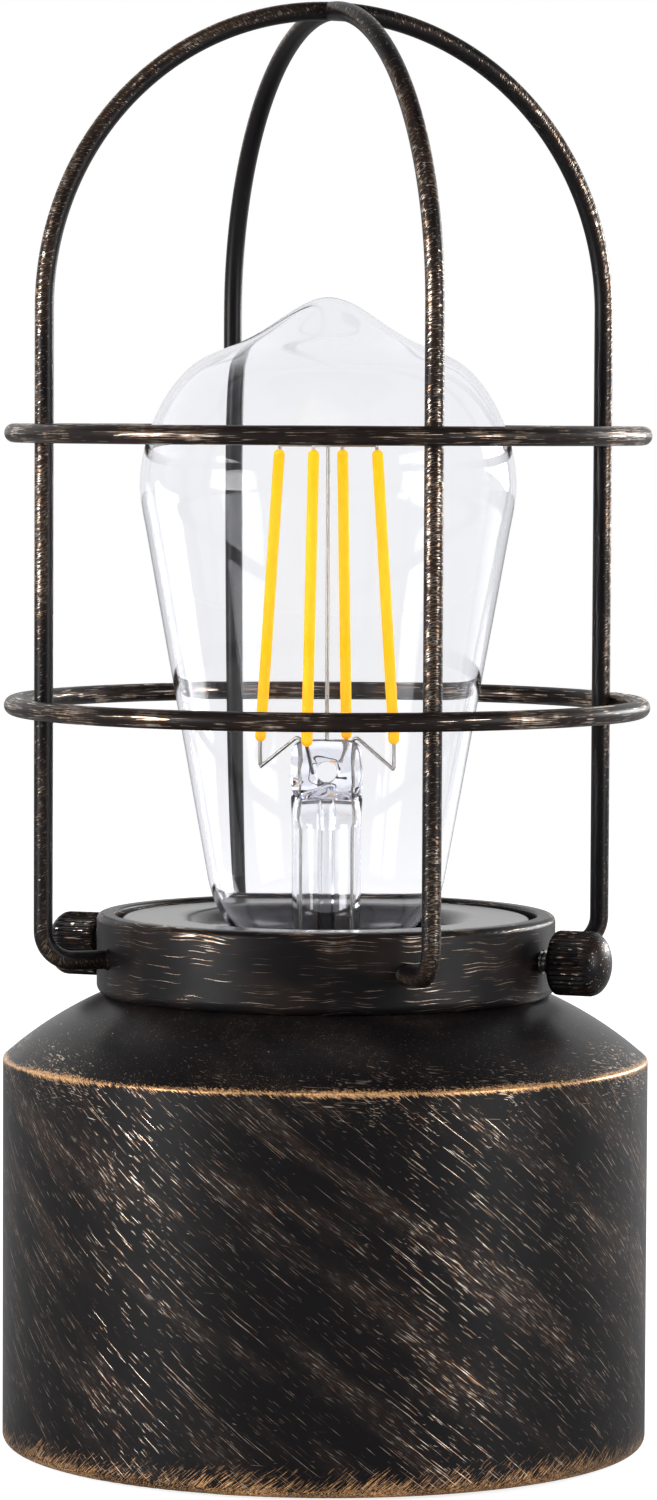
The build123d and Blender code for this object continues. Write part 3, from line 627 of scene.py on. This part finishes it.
def clear_glass(name, tint, absorption, index):
    """Soda-lime glass: clear face on, and greyer at the rim where light goes through more of it.

    The thin envelope has a lower index than the stem, which keeps the studio's mirror images on it faint.
    """
    material, add = new_material(name)
    volume = add("VolumeAbsorption", {"Color": tint, "Density": absorption})
    close(add, {"Base Color": (1.0, 1.0, 1.0, 1.0), "Transmission Weight": 1.0, "Roughness": 0.0,
                "IOR": index}, Volume=volume)
    return material


def phosphor(tint):
    """Phosphor in silicone on the filaments: matt yellow, a little uneven, with a faint painted glow, an
    emission that brightens the unlit filaments.
    """
    material, add = new_material("phosphor_silicone")
    tone = grain(add, add("TexCoord", out="Object"), (0.5, 0.5, 1.2))
    deep = [tint[0], tint[1] * 0.8, 0.0, 1.0]
    shown = add("Mix", {0: tone, 6: deep, 7: tint}, **COLOURED)
    # The emission is painted light: a faint glow in the phosphor's colour on filaments that are not lit
    close(add, {"Base Color": shown, "Roughness": 0.6, "Specular IOR Level": 0.15, "Emission Color": tint,
                "Emission Strength": 0.2})
    return material


# Pieces


class LAMP_OT_base(bpy.types.Operator):
    """Finish the drum, its underside and the cord inlet"""

    bl_idname = "lamp.base"
    bl_label = "Base"

    def execute(self, context):
        colours = context.scene.lamp_colours
        dress(drum_lacquer(colours, context.scene.lamp_brush), "base_shell")
        # Zinc plate: bright grey metal with a soft polish
        dress(metal("zinc_plated_steel", colours.zinc, 0.34, size=0.8),
              "bottom_plate", "plate_lugs", "plate_screws", "nipple", "nipple_washer", "nipple_nut")
        # Foam rubber: matt and nearly black
        dress(moulded("foam_rubber", colours.rubber, 0.8, size=0.5), "foot_pad", "cord_grommet")
        return {"FINISHED"}


class LAMP_OT_cup(bpy.types.Operator):
    """Finish the neck cup and the lampholder in it"""

    bl_idname = "lamp.cup"
    bl_label = "Cup and lampholder"

    def execute(self, context):
        colours = context.scene.lamp_colours
        # Satin paint: smooth dark grey with a clear sheen
        dress(moulded("satin_charcoal_paint", colours.cup, 0.24, size=0.35, relief=0.03), "neck_cup")
        # Phenolic: dull brown-black
        dress(moulded("phenolic_moulding", colours.phenolic, 0.4, size=0.6), "lampholder_body")
        # Rolled brass: yellow metal with a soft polish
        dress(metal("rolled_brass", colours.brass, 0.3, size=0.6),
              "lampholder_sleeve", "lampholder_tongue", "sense_lug")
        return {"FINISHED"}


class LAMP_OT_touch_unit(bpy.types.Operator):
    """Finish the touch unit inside the base"""

    bl_idname = "lamp.touch_unit"
    bl_label = "Touch unit"

    def execute(self, context):
        colours = context.scene.lamp_colours
        # ABS: dark plastic with a fine moulded skin
        dress(moulded("abs_case", colours.case, 0.5, size=0.4),
              "touch_case", "touch_lid", "board_devices", "lamp_leads", "sense_lead")
        # Solder mask: satin green
        dress(moulded("solder_mask_board", colours.board, 0.35, size=1.0), "touch_board", "driver_board")
        # Foam tape: matt and pale
        dress(moulded("foam_tape", colours.tape, 0.9, size=0.4), "touch_tape")
        return {"FINISHED"}


class LAMP_OT_cage(bpy.types.Operator):
    """Build the wire cage on its collar"""

    bl_idname = "lamp.cage"
    bl_label = "Cage"

    def execute(self, context):
        colours, sizes = context.scene.lamp_colours, context.scene.lamp_cage
        dress(collar_lacquer(colours), "cage_collar")
        lacquer = wire_lacquer(colours, context.scene.lamp_brush)
        whole = self.hoop_path(sizes, 180)
        butt = 90 - np.degrees(np.arcsin(sizes.crown_butt / self.hoop_radius(sizes)))
        half = self.hoop_path(sizes, butt)
        for name, path, turned in [("main_hoop", whole, sizes.hoop_angle),
                                   ("front_half_hoop", half, sizes.hoop_angle - pi / 2),
                                   ("rear_half_hoop", half, sizes.hoop_angle + pi / 2)]:
            out = np.array([cos(turned), sin(turned), 0.0])
            spots = path[:, :1] * out + path[:, 1:] * UP
            grid, straight = wire_grid(spots, sizes.wire_radius, np.cross(UP, out), sizes.foot_flare,
                                       sizes.foot_sink)
            wire = grid_object(f"{name}_wire", grid, field=straight)
            stand_for(wire, lacquer, "cage", "bronze_paint", name)
        lacquer = ring_lacquer(colours)
        radius = self.hoop_radius(sizes) + 2 * sizes.wire_radius - sizes.weld_sink
        for name in ("lower_ring", "upper_ring"):
            section = arc((radius, middle_height(name)), sizes.wire_radius, 0, 360, WIRE_SIDES + 1)[:-1]
            ring = grid_object(f"{name}_wire", turn(section, RING_STEPS), looped=True)
            stand_for(ring, lacquer, "cage", "bronze_paint", name)
        return {"FINISHED"}

    @staticmethod
    def hoop_radius(sizes):
        """Radius of the hoop's centre line, from the box of the whole hoop and its direction."""
        return (hoop_high.x - sizes.wire_radius) / cos(sizes.hoop_angle)

    def hoop_path(self, sizes, reach):
        """Centre line (radius, height): foot, bend, upright and arch; a whole hoop has the far leg too.

        `reach` is how far the arch goes in degrees, with a point for each of them.
        """
        radius = self.hoop_radius(sizes)
        foot = hoop_low.z + sizes.wire_radius
        spring = hoop_high.z - sizes.wire_radius - radius
        bend_centre = (radius - sizes.bend_radius, foot + sizes.bend_radius)
        run = steps(FOOT_STEPS, (collar_high.x - sizes.foot_sink, foot), (bend_centre[0], foot))
        bend = arc(bend_centre, sizes.bend_radius, -90, 0, BEND_STEPS)
        upright = steps(UPRIGHT_STEPS, (radius, bend_centre[1]), (radius, spring))
        leg = np.vstack([run[:-1], bend[:-1], upright[:-1]])
        over = arc((0, spring), radius, 0, reach, count=int(reach))
        if reach < 180:
            return np.vstack([leg, over])
        return np.vstack([leg, over, leg[::-1] * [-1, 1]])


class LAMP_OT_thumb_screws(bpy.types.Operator):
    """Build the ribbed knobs and their threaded studs"""

    bl_idname = "lamp.thumb_screws"
    bl_label = "Thumb screws"

    def execute(self, context):
        colours, sizes = context.scene.lamp_colours, context.scene.lamp_screws
        lacquer = knob_lacquer(colours)
        # Zinc plate on a cut thread: bright grey metal
        zinc = metal("zinc_plated_thread", colours.zinc, 0.28, size=0.3)
        for name, side in [("right", 1), ("left", -1)]:
            stud = grid_object(f"{name}_stud_thread", self.lay(self.stud(sizes), side))
            stand_for(stud, zinc, f"{name}_stud", "zinc_steel", f"{name}_screw_stud")
            points, crest = self.knob(sizes)
            knob = grid_object(f"{name}_knob_ribbed", self.lay(points, side), field=crest)
            stand_for(knob, lacquer, f"{name}_knob", "bronze_paint", f"{name}_thumb_knob")
        return {"FINISHED"}

    @staticmethod
    def lay(points, side):
        """Lay a grid drawn along Z outwards along X on one side, at the height of the screws."""
        across, along, up = points[..., 1], points[..., 2], points[..., 0]
        return np.stack([side * along, side * across, up + middle_height("right_screw_stud")], axis=-1)

    @staticmethod
    def stud(sizes):
        """Stud whose radius falls and rises once a pitch and follows the turn, which draws a helix."""
        low, high = stud_low.x, stud_high.x
        z = steps(int((high - low) / sizes.pitch * PITCH_STEPS), low, high)[:, None]
        t = around(STUD_SIDES)
        phase = (z / sizes.pitch - t / tau) % 1.0
        radius = (stud_high.z - stud_low.z) / 2
        r = radius - sizes.thread_depth * np.abs(2 * phase - 1)
        r = np.minimum(r, radius - sizes.point + (z - low))
        r[0] = r[-1] = 0.0
        z[0], z[-1] = z[1], z[-2]
        return np.stack([r * np.cos(t), r * np.sin(t), z + 0 * t], axis=-1)

    @staticmethod
    def knob(sizes):
        """Knob: bore, back face, rounded edge, ribbed grip and a dome that is a quarter of an ellipse.

        The ribs take depth times the square of a cosine wave off the radius and fade out on the dome.
        Returns the grid and how much of a rib's crest each point is.
        """
        seat = knob_low.x
        radius = (knob_high.z - knob_low.z) / 2
        bore = (stud_high.z - stud_low.z) / 2 + sizes.bore_fit
        shoulder = knob_high.x - sizes.dome
        rim = radius - sizes.edge_round
        inside = np.array([[0.0, seat + sizes.bore_depth], [bore, seat + sizes.bore_depth], [bore, seat]])
        face = steps(FACE_STEPS, (bore, seat), (rim, seat))[1:-1]
        edge = arc((rim, seat + sizes.edge_round), sizes.edge_round, -90, 0, EDGE_STEPS)
        grip = steps(GRIP_STEPS, (radius, seat + sizes.edge_round), (radius, shoulder))
        t = quarter(DOME_STEPS)
        dome = np.stack([radius * np.cos(t), shoulder + sizes.dome * np.sin(t)], axis=-1)
        dome[-1, 0] = 0.0
        profile = np.vstack([inside, face, edge[:-1], grip[:-1], dome])
        count = sizes.ribs * RIB_STEPS
        points = turn(profile, count)
        groove = np.cos(around(count) * sizes.ribs / 2) ** 2
        r, z = profile[:, :1], profile[:, 1:]
        fade = np.clip((shoulder + sizes.rib_climb - z) / sizes.rib_fade, 0, 1)
        fade = fade * np.clip((r - rim) / sizes.edge_round, 0, 1)
        depth = sizes.rib_depth * fade * groove
        points[..., :2] *= (1 - depth / np.maximum(r, MM))[..., None]
        crest = np.zeros(points.shape)
        crest[..., 0] = fade * (1 - groove)
        return points, crest


class LAMP_OT_bulb(bpy.types.Operator):
    """Build the bulb's glass, filaments and cap, and finish what is inside it"""

    bl_idname = "lamp.bulb"
    bl_label = "Bulb"

    def execute(self, context):
        colours, sizes = context.scene.lamp_colours, context.scene.lamp_bulb
        tint, strength = colours.glass, sizes.absorption
        blown = clear_glass("blown_soda_lime_glass", tint, strength, sizes.thin_index)
        pressed = clear_glass("pressed_soda_lime_glass", tint, strength, sizes.pressed_index)
        envelope = grid_object("bulb_envelope", turn(self.envelope(sizes), GLASS_SIDES))
        stand_for(envelope, blown, "bulb", "clear_glass", "bulb_glass")
        exhaust = turn(self.exhaust(sizes), EXHAUST_SIDES)
        for name, points, looped, node in [("bulb_stem_tube", self.stem(sizes), False, "bulb_stem"),
                                           ("bulb_stem_pinch", self.pinch(sizes), True, "bulb_stem"),
                                           ("exhaust_tube_glass", exhaust, True, "exhaust_tube")]:
            stand_for(grid_object(name, points, looped), pressed, "bulb", "clear_glass", node)
        # Nickel wire: grey metal with a soft polish
        dress(metal("nickel_wire", colours.nickel, 0.3, size=0.3),
              "bulb_leads", "filament_tabs", "support_rod")
        filaments = grid_object("filament_rods", self.filaments(sizes))
        stand_for(filaments, phosphor(colours.phosphor), "bulb", "phosphor", "bulb_filaments")
        # Nickel plate on brass: pale, warm metal
        plate = metal("nickel_plated_brass", colours.nickel_plate, 0.28, size=0.5)
        stand_for(grid_object("bulb_cap_thread", self.cap(sizes)), plate, "bulb", "cap_nickel", "bulb_cap")
        dress(plate, "bulb_contact")
        # Pressed black glass: glossy
        dress(moulded("pressed_black_glass", colours.black_glass, 0.15, size=0.8), "bulb_insulator")
        return {"FINISHED"}

    @staticmethod
    def as_turned(sizes, across, through, height):
        """Points from places across the pinch, through it and up, turned with the bulb."""
        c, s = cos(sizes.turned), sin(sizes.turned)
        return np.stack([across * c - through * s, across * s + through * c, height + 0 * across], axis=-1)

    def stem(self, sizes):
        """Glass tube with a flared foot, drawn in to an ellipse under the pinch, with a domed hollow.

        Each row is an ellipse. Its half widths are those of the flare's quarter ellipse, then of the tube,
        and then ease as a smooth step from the tube's radius to half the pinch's width and thickness; the
        top closes as a quarter ellipse. The hollow is the same with the wall taken off, so that its dome
        ends a wall lower.
        """
        radius, foot = sizes.stem_radius, stem_low.z
        plain = stem_high.z - sizes.pinch_height - sizes.pinch_taper
        bend = quarter(BEND_STEPS)
        flare = radius + (stem_high.x - radius) * (1 - np.sin(bend))
        s = steps(TAPER_STEPS)
        ease = s * s * (3 - 2 * s)
        wide = np.concatenate([flare, radius + ease * (sizes.pinch_width / 2 - radius)])
        deep = np.concatenate([flare, radius + ease * (sizes.pinch_thickness / 2 - radius)])
        height = np.concatenate([foot + sizes.flare_round * (1 - np.cos(bend)),
                                 plain + s * sizes.pinch_taper])
        shut = quarter(STEM_END_STEPS)
        lift = np.sin(shut) * 2 * sizes.stem_wall
        inner, outer = (np.stack([np.append(wide - wall, (wide[-1] - wall) * np.cos(shut)),
                                  np.append(deep - wall, (deep[-1] - wall) * np.cos(shut)),
                                  np.append(height - wall, height[-1] - wall + lift)], axis=-1)
                        for wall in (sizes.stem_wall, 0.0))
        inner[:BEND_STEPS, 2] = np.maximum(inner[:BEND_STEPS, 2], foot)
        rows = np.vstack([inner[::-1], outer])
        t = around(STEM_SIDES)
        return self.as_turned(sizes, rows[:, :1] * np.cos(t), rows[:, 1:2] * np.sin(t), rows[:, 2:])

    def pinch(self, sizes):
        """Flat pinch with an eye through it: a squared ring round the eye.

        Round the eye, the outline is a rectangle with its corners rounded by a high-power norm. Each
        section, from the eye's edge to the outline, is a superellipse as thick as the pinch, and the faces
        rise and dip by two crossed sine waves, lumps and ripples, that fade out towards the top.
        """
        corner_power, section_power = 5, 3
        lump_across, lump_rise, lump_swing = 0.8 * MM, 1.3 * MM, 1.6
        ripple_across, ripple_rise = 2.0 * MM, 0.7 * MM
        smooth_from = 0.7
        t = around(PINCH_SIDES)
        p = around(PINCH_SECTION_STEPS)[:, None]
        up, down = sizes.eye_drop, sizes.pinch_height - sizes.eye_drop + sizes.pinch_sink
        sideways = np.abs(np.cos(t)) / (sizes.pinch_width / 2)
        upright = np.abs(np.sin(t)) / np.where(t < pi, up, down)
        edge = (sideways ** corner_power + upright ** corner_power) ** (-1 / corner_power)
        out, face = (np.sign(w) * np.abs(w) ** (2 / section_power) for w in (np.cos(p), np.sin(p)))
        reach = (sizes.eye_radius + edge) / 2 + (edge - sizes.eye_radius) / 2 * out
        across, rise = reach * np.cos(t), reach * np.sin(t)
        lumps = np.sin(across / lump_across + lump_swing * np.sin(rise / lump_rise + face))
        ripples = np.sin(rise / ripple_rise - across / ripple_across)
        fade = np.clip(smooth_from - rise / up, 0, 1)
        through = face * (sizes.pinch_thickness / 2 + sizes.pinch_lump * (lumps + ripples) * fade)
        return self.as_turned(sizes, across, through, stem_high.z - up + rise)

    @staticmethod
    def exhaust(sizes):
        """Closed outline of the exhaust tube's wall, which runs up to the stem's dome."""
        inner, outer = sizes.exhaust_radius - sizes.exhaust_wall, sizes.exhaust_radius
        low, high = exhaust_low.z, stem_high.z - sizes.pinch_height
        return np.array([(inner, low), (outer, low), (outer, high), (inner, high)])

    @staticmethod
    def filaments(sizes):
        """Four leaning rods with round ends, a quarter turn apart.

        Along a rod from its foot to its head, the radius is that of a quarter circle at each end and even
        between.
        """
        bend = quarter(FILAMENT_END_STEPS)
        size = np.concatenate([np.sin(bend), np.cos(bend)]) * sizes.filament_radius
        start = sizes.filament_radius * (1 - np.cos(bend))
        a = around(FILAMENT_SIDES)[:, None]
        grids = []
        for t in sizes.filament_turn + sizes.turned + around(4):
            out = np.array([cos(t), sin(t), 0.0])
            side = np.cross(UP, out)
            foot = out * sizes.filament_foot + UP * filament_low.z
            along = out * sizes.filament_head + UP * filament_high.z - foot
            span = np.linalg.norm(along)
            along /= span
            place = np.concatenate([start, span - start[::-1]])
            ring = np.cos(a) * side + np.sin(a) * np.cross(along, side)
            grids.append(foot + place[:, None, None] * along + size[:, None, None] * ring)
        return np.array(grids)

    @staticmethod
    def cap(sizes):
        """Thin cap with a thread rolled into its wall.

        Its outline runs from the hole round the foot and up the outside to the lip, then back inside by the
        wall. Both sides of the wall go in by the depth times a raised cosine of the turn less the height in
        pitches, which draws a helix, and that fades out over a third of a pitch at both ends.
        """
        radius, low, high = cap_high.x, cap_low.z, cap_high.z
        rim, knee = radius - sizes.cap_round, low + sizes.cap_round
        outer = np.vstack([steps(CAP_FOOT_STEPS, (sizes.cap_hole, low), (rim, low))[:-1],
                           arc((rim, knee), sizes.cap_round, -90, 0, CAP_FOOT_STEPS)[:-1],
                           steps(CAP_WALL_STEPS, (radius, knee), (radius, high))])
        inner = outer.copy()
        inner[:, 0] = np.minimum(outer[:, 0], radius - sizes.cap_wall)
        inner[:-1, 1] = np.maximum(outer[:-1, 1], low + sizes.cap_wall)
        profile = np.vstack([outer, inner[::-1], outer[:1]])
        points = turn(profile, CAP_SIDES)
        r, z = profile[:, :1], profile[:, 1:]
        ease = sizes.thread_pitch / 3
        fade = np.clip((z - low - sizes.plain_foot) / ease, 0, 1)
        fade = fade * np.clip((high - sizes.plain_top - z) / ease, 0, 1)
        helix = (1 + np.cos(tau * z / sizes.thread_pitch - around(CAP_SIDES))) / 2
        points[..., :2] *= (1 - fade * sizes.thread_depth * helix / r)[..., None]
        return points

    @staticmethod
    def envelope(sizes):
        """Closed outline of the glass wall: up the outside from the neck to the tip and down the inside.

        The flank is straight, and the neck's flare and the crown are smooth curves; the inside is the
        outside moved in by the wall along its own normal.
        """
        widest, tip = glass_high.x, glass_high.z
        neck = cap_high.x - sizes.cap_wall - sizes.neck_fit
        neck_top = cap_high.z + sizes.neck_show
        throat = neck_top + sizes.throat_rise
        belly = tip - sizes.dome_height
        waist = np.array([sizes.waist_radius, throat + sizes.waist_rise])
        flank = np.array([widest - sizes.cone_inset, belly - sizes.cone_drop])
        lean = (flank - waist) / np.linalg.norm(flank - waist)
        up, inwards = (0.0, 1.0), (-1.0, 0.0)
        straight = steps(NECK_STEPS, (neck, glass_low.z), (neck, neck_top))
        flare = smooth_line([(neck, neck_top), (sizes.throat_radius, throat), waist], up, lean, FLARE_STEPS)
        side = steps(FLANK_STEPS, waist, flank)
        swell = smooth_line([flank, (widest, belly)], lean, up, SWELL_STEPS)
        crown = smooth_line([(widest, belly), (widest - sizes.crown_inset, tip - sizes.crown_drop),
                             (widest - sizes.brow_inset, tip - sizes.brow_drop),
                             (sizes.saddle_radius, tip - sizes.saddle_drop),
                             (sizes.nose_radius, tip - sizes.nose_drop), (0.0, tip)],
                            up, inwards, CROWN_STEPS)
        outer = np.vstack([straight[:-1], flare[:-1], side[:-1], swell[:-1], crown])
        along = np.gradient(outer, axis=0)
        along /= np.linalg.norm(along, axis=1)[:, None]
        inner = outer + sizes.wall * np.stack([-along[:, 1], along[:, 0]], axis=-1)
        inner[-1] = (0.0, tip - sizes.wall)
        inner[:, 0] = np.maximum(inner[:, 0], 0.0)
        return np.vstack([inner[::-1], outer])


class LAMP_OT_stage(bpy.types.Operator):
    """Set up the studio: floor, lights, white surroundings and camera"""

    bl_idname = "lamp.stage"
    bl_label = "Studio"

    def execute(self, context):
        stage = context.scene.lamp_stage
        self.floor(context.scene.lamp_colours, stage)
        self.surroundings(context.scene, stage)
        self.lights(context.scene, stage)
        self.camera(context.scene, stage)
        context.scene.view_settings.view_transform = "Standard"
        return {"FINISHED"}

    @staticmethod
    def floor(colours, stage):
        """Flat round floor, white to the eye, which still takes the lamp's shadow."""
        profile = steps(FLOOR_STEPS, (0.0, 0.0), (stage.floor_radius, 0.0))
        floor = grid_object("studio_floor", turn(profile, FLOOR_SIDES))
        material, add = new_material("white_studio_floor")
        seen = add("Math", [add("LightPath", out="Is Camera Ray"), stage.floor_glow], **TIMES)
        through = add("Math", [add("LightPath", out="Is Transmission Ray"), stage.glass_glow], **TIMES)
        close(add, {"Base Color": colours.floor, "Roughness": 1.0, "Specular IOR Level": 0.0,
                    "Emission Color": (1.0, 1.0, 1.0, 1.0),
                    "Emission Strength": add("Math", [seen, through], **MOST)})
        floor.data.materials.append(material)

    @staticmethod
    def surroundings(scene, stage):
        """White all round where it is seen, dimmer as a source of light.

        Reflections see a white tent that is open, and dim, in front and overhead: its level rises from dark
        to white with how far a direction points at the backdrop, less the opening times how far it points
        up.
        """
        world = bpy.data.worlds.new("white_studio")
        world.use_nodes = True
        world.node_tree.nodes.clear()
        add = partial(add_node, world.node_tree)
        opening, dark, white = 0.8, -0.5, 0.4
        backdrop = (-sin(stage.azimuth), cos(stage.azimuth), -opening)
        looking = add("TexCoord", out="Generated")
        behind = add("VectorMath", [looking, backdrop], "Value", operation="DOT_PRODUCT")
        tent = add("MapRange", [behind, dark, white, stage.front_level])
        level = stage.ambient
        for ray, shown in [("Is Glossy Ray", tent), ("Is Transmission Ray", stage.glass_level),
                           ("Is Camera Ray", 1.0)]:
            level = add("Mix", {0: add("LightPath", out=ray), 2: level, 3: shown})
        glow = add("Background", {"Color": (1.0, 1.0, 1.0, 1.0), "Strength": level})
        add("OutputWorld", {"Surface": glow})
        scene.world = world

    @staticmethod
    def lights(scene, stage):
        """Soft boxes on both sides, behind and overhead, all turned to the lamp's middle.

        Each has its bearing in degrees to the right of the camera, distance from the axis, height, size and
        power.
        """
        aim = UP * stage.aim_height
        for name, bearing, away, height, size, power in [("left_box", -61, 1.25, 0.3, (0.42, 0.6), 15.0),
                                                         ("right_box", 60, 1.25, 0.3, (0.7, 0.6), 11.0),
                                                         ("rim_box", 130, 1.1, 0.3, (0.2, 0.6), 7.0),
                                                         ("top_box", -5, 0.85, 1.1, (0.5, 0.5), 1.2)]:
            t = stage.azimuth + radians(bearing)
            place = np.array([away * sin(t), -away * cos(t), height])
            data = bpy.data.lights.new(name, "AREA")
            data.shape = "RECTANGLE"
            data.size, data.size_y = size
            data.energy = power
            lamp = bpy.data.objects.new(name, data)
            back = (place - aim) / np.linalg.norm(place - aim)
            right = np.cross([0.0, 1.0, 0.0], back)
            right /= np.linalg.norm(right)
            turned = np.stack([right, np.cross(back, right), back, place], axis=1)
            lamp.matrix_world = Matrix([*turned.tolist(), [0.0, 0.0, 0.0, 1.0]])
            scene.collection.objects.link(lamp)

    @staticmethod
    def camera(scene, stage):
        """Camera at its measured place, pitched down and rolled a little."""
        data = bpy.data.cameras.new("camera")
        data.sensor_fit = "VERTICAL"
        data.sensor_height = stage.sensor
        data.lens = stage.lens
        camera = bpy.data.objects.new("camera", data)
        facing = Matrix.Rotation(stage.azimuth, 4, "Z")
        place = Matrix.Translation((stage.aside, -stage.distance, stage.height))
        tilt = Matrix.Rotation(pi / 2 - stage.pitch, 4, "X")
        camera.matrix_world = facing @ place @ tilt @ Matrix.Rotation(stage.roll, 4, "Z")
        scene.collection.objects.link(camera)
        scene.camera = camera


PIECES = (LAMP_OT_base, LAMP_OT_cup, LAMP_OT_touch_unit, LAMP_OT_cage, LAMP_OT_thumb_screws, LAMP_OT_bulb,
          LAMP_OT_stage)


class LAMP_PT_sidebar(bpy.types.Panel):
    """Lists the lamp's pieces and their settings"""

    bl_idname = "LAMP_PT_sidebar"
    bl_label = "Cage Touch Lamp"
    bl_space_type = "VIEW_3D"
    bl_region_type = "UI"
    bl_category = "Lamp"

    def draw(self, context):
        for piece in PIECES:
            self.layout.operator(piece.bl_idname)
        for group in GROUPS:
            box = self.layout.box()
            settings = getattr(context.scene, group)
            for key in settings.__annotations__:
                box.prop(settings, key)


GROUPS = {"lamp_colours": FinishColours, "lamp_brush": BrushSettings, "lamp_cage": CageSizes,
          "lamp_screws": ScrewSizes, "lamp_bulb": BulbSizes, "lamp_stage": StageSettings}


def register():
    for cls in (*GROUPS.values(), *PIECES, LAMP_PT_sidebar):
        bpy.utils.register_class(cls)
    for key, cls in GROUPS.items():
        setattr(bpy.types.Scene, key, PointerProperty(type=cls))


def unregister():
    for key in GROUPS:
        delattr(bpy.types.Scene, key)
    for cls in reversed((*GROUPS.values(), *PIECES, LAMP_PT_sidebar)):
        bpy.utils.unregister_class(cls)


def main():
    register()
    for piece in PIECES:
        group, name = piece.bl_idname.split(".")
        getattr(getattr(bpy.ops, group), name)()


if __name__ == "__main__":
    main()
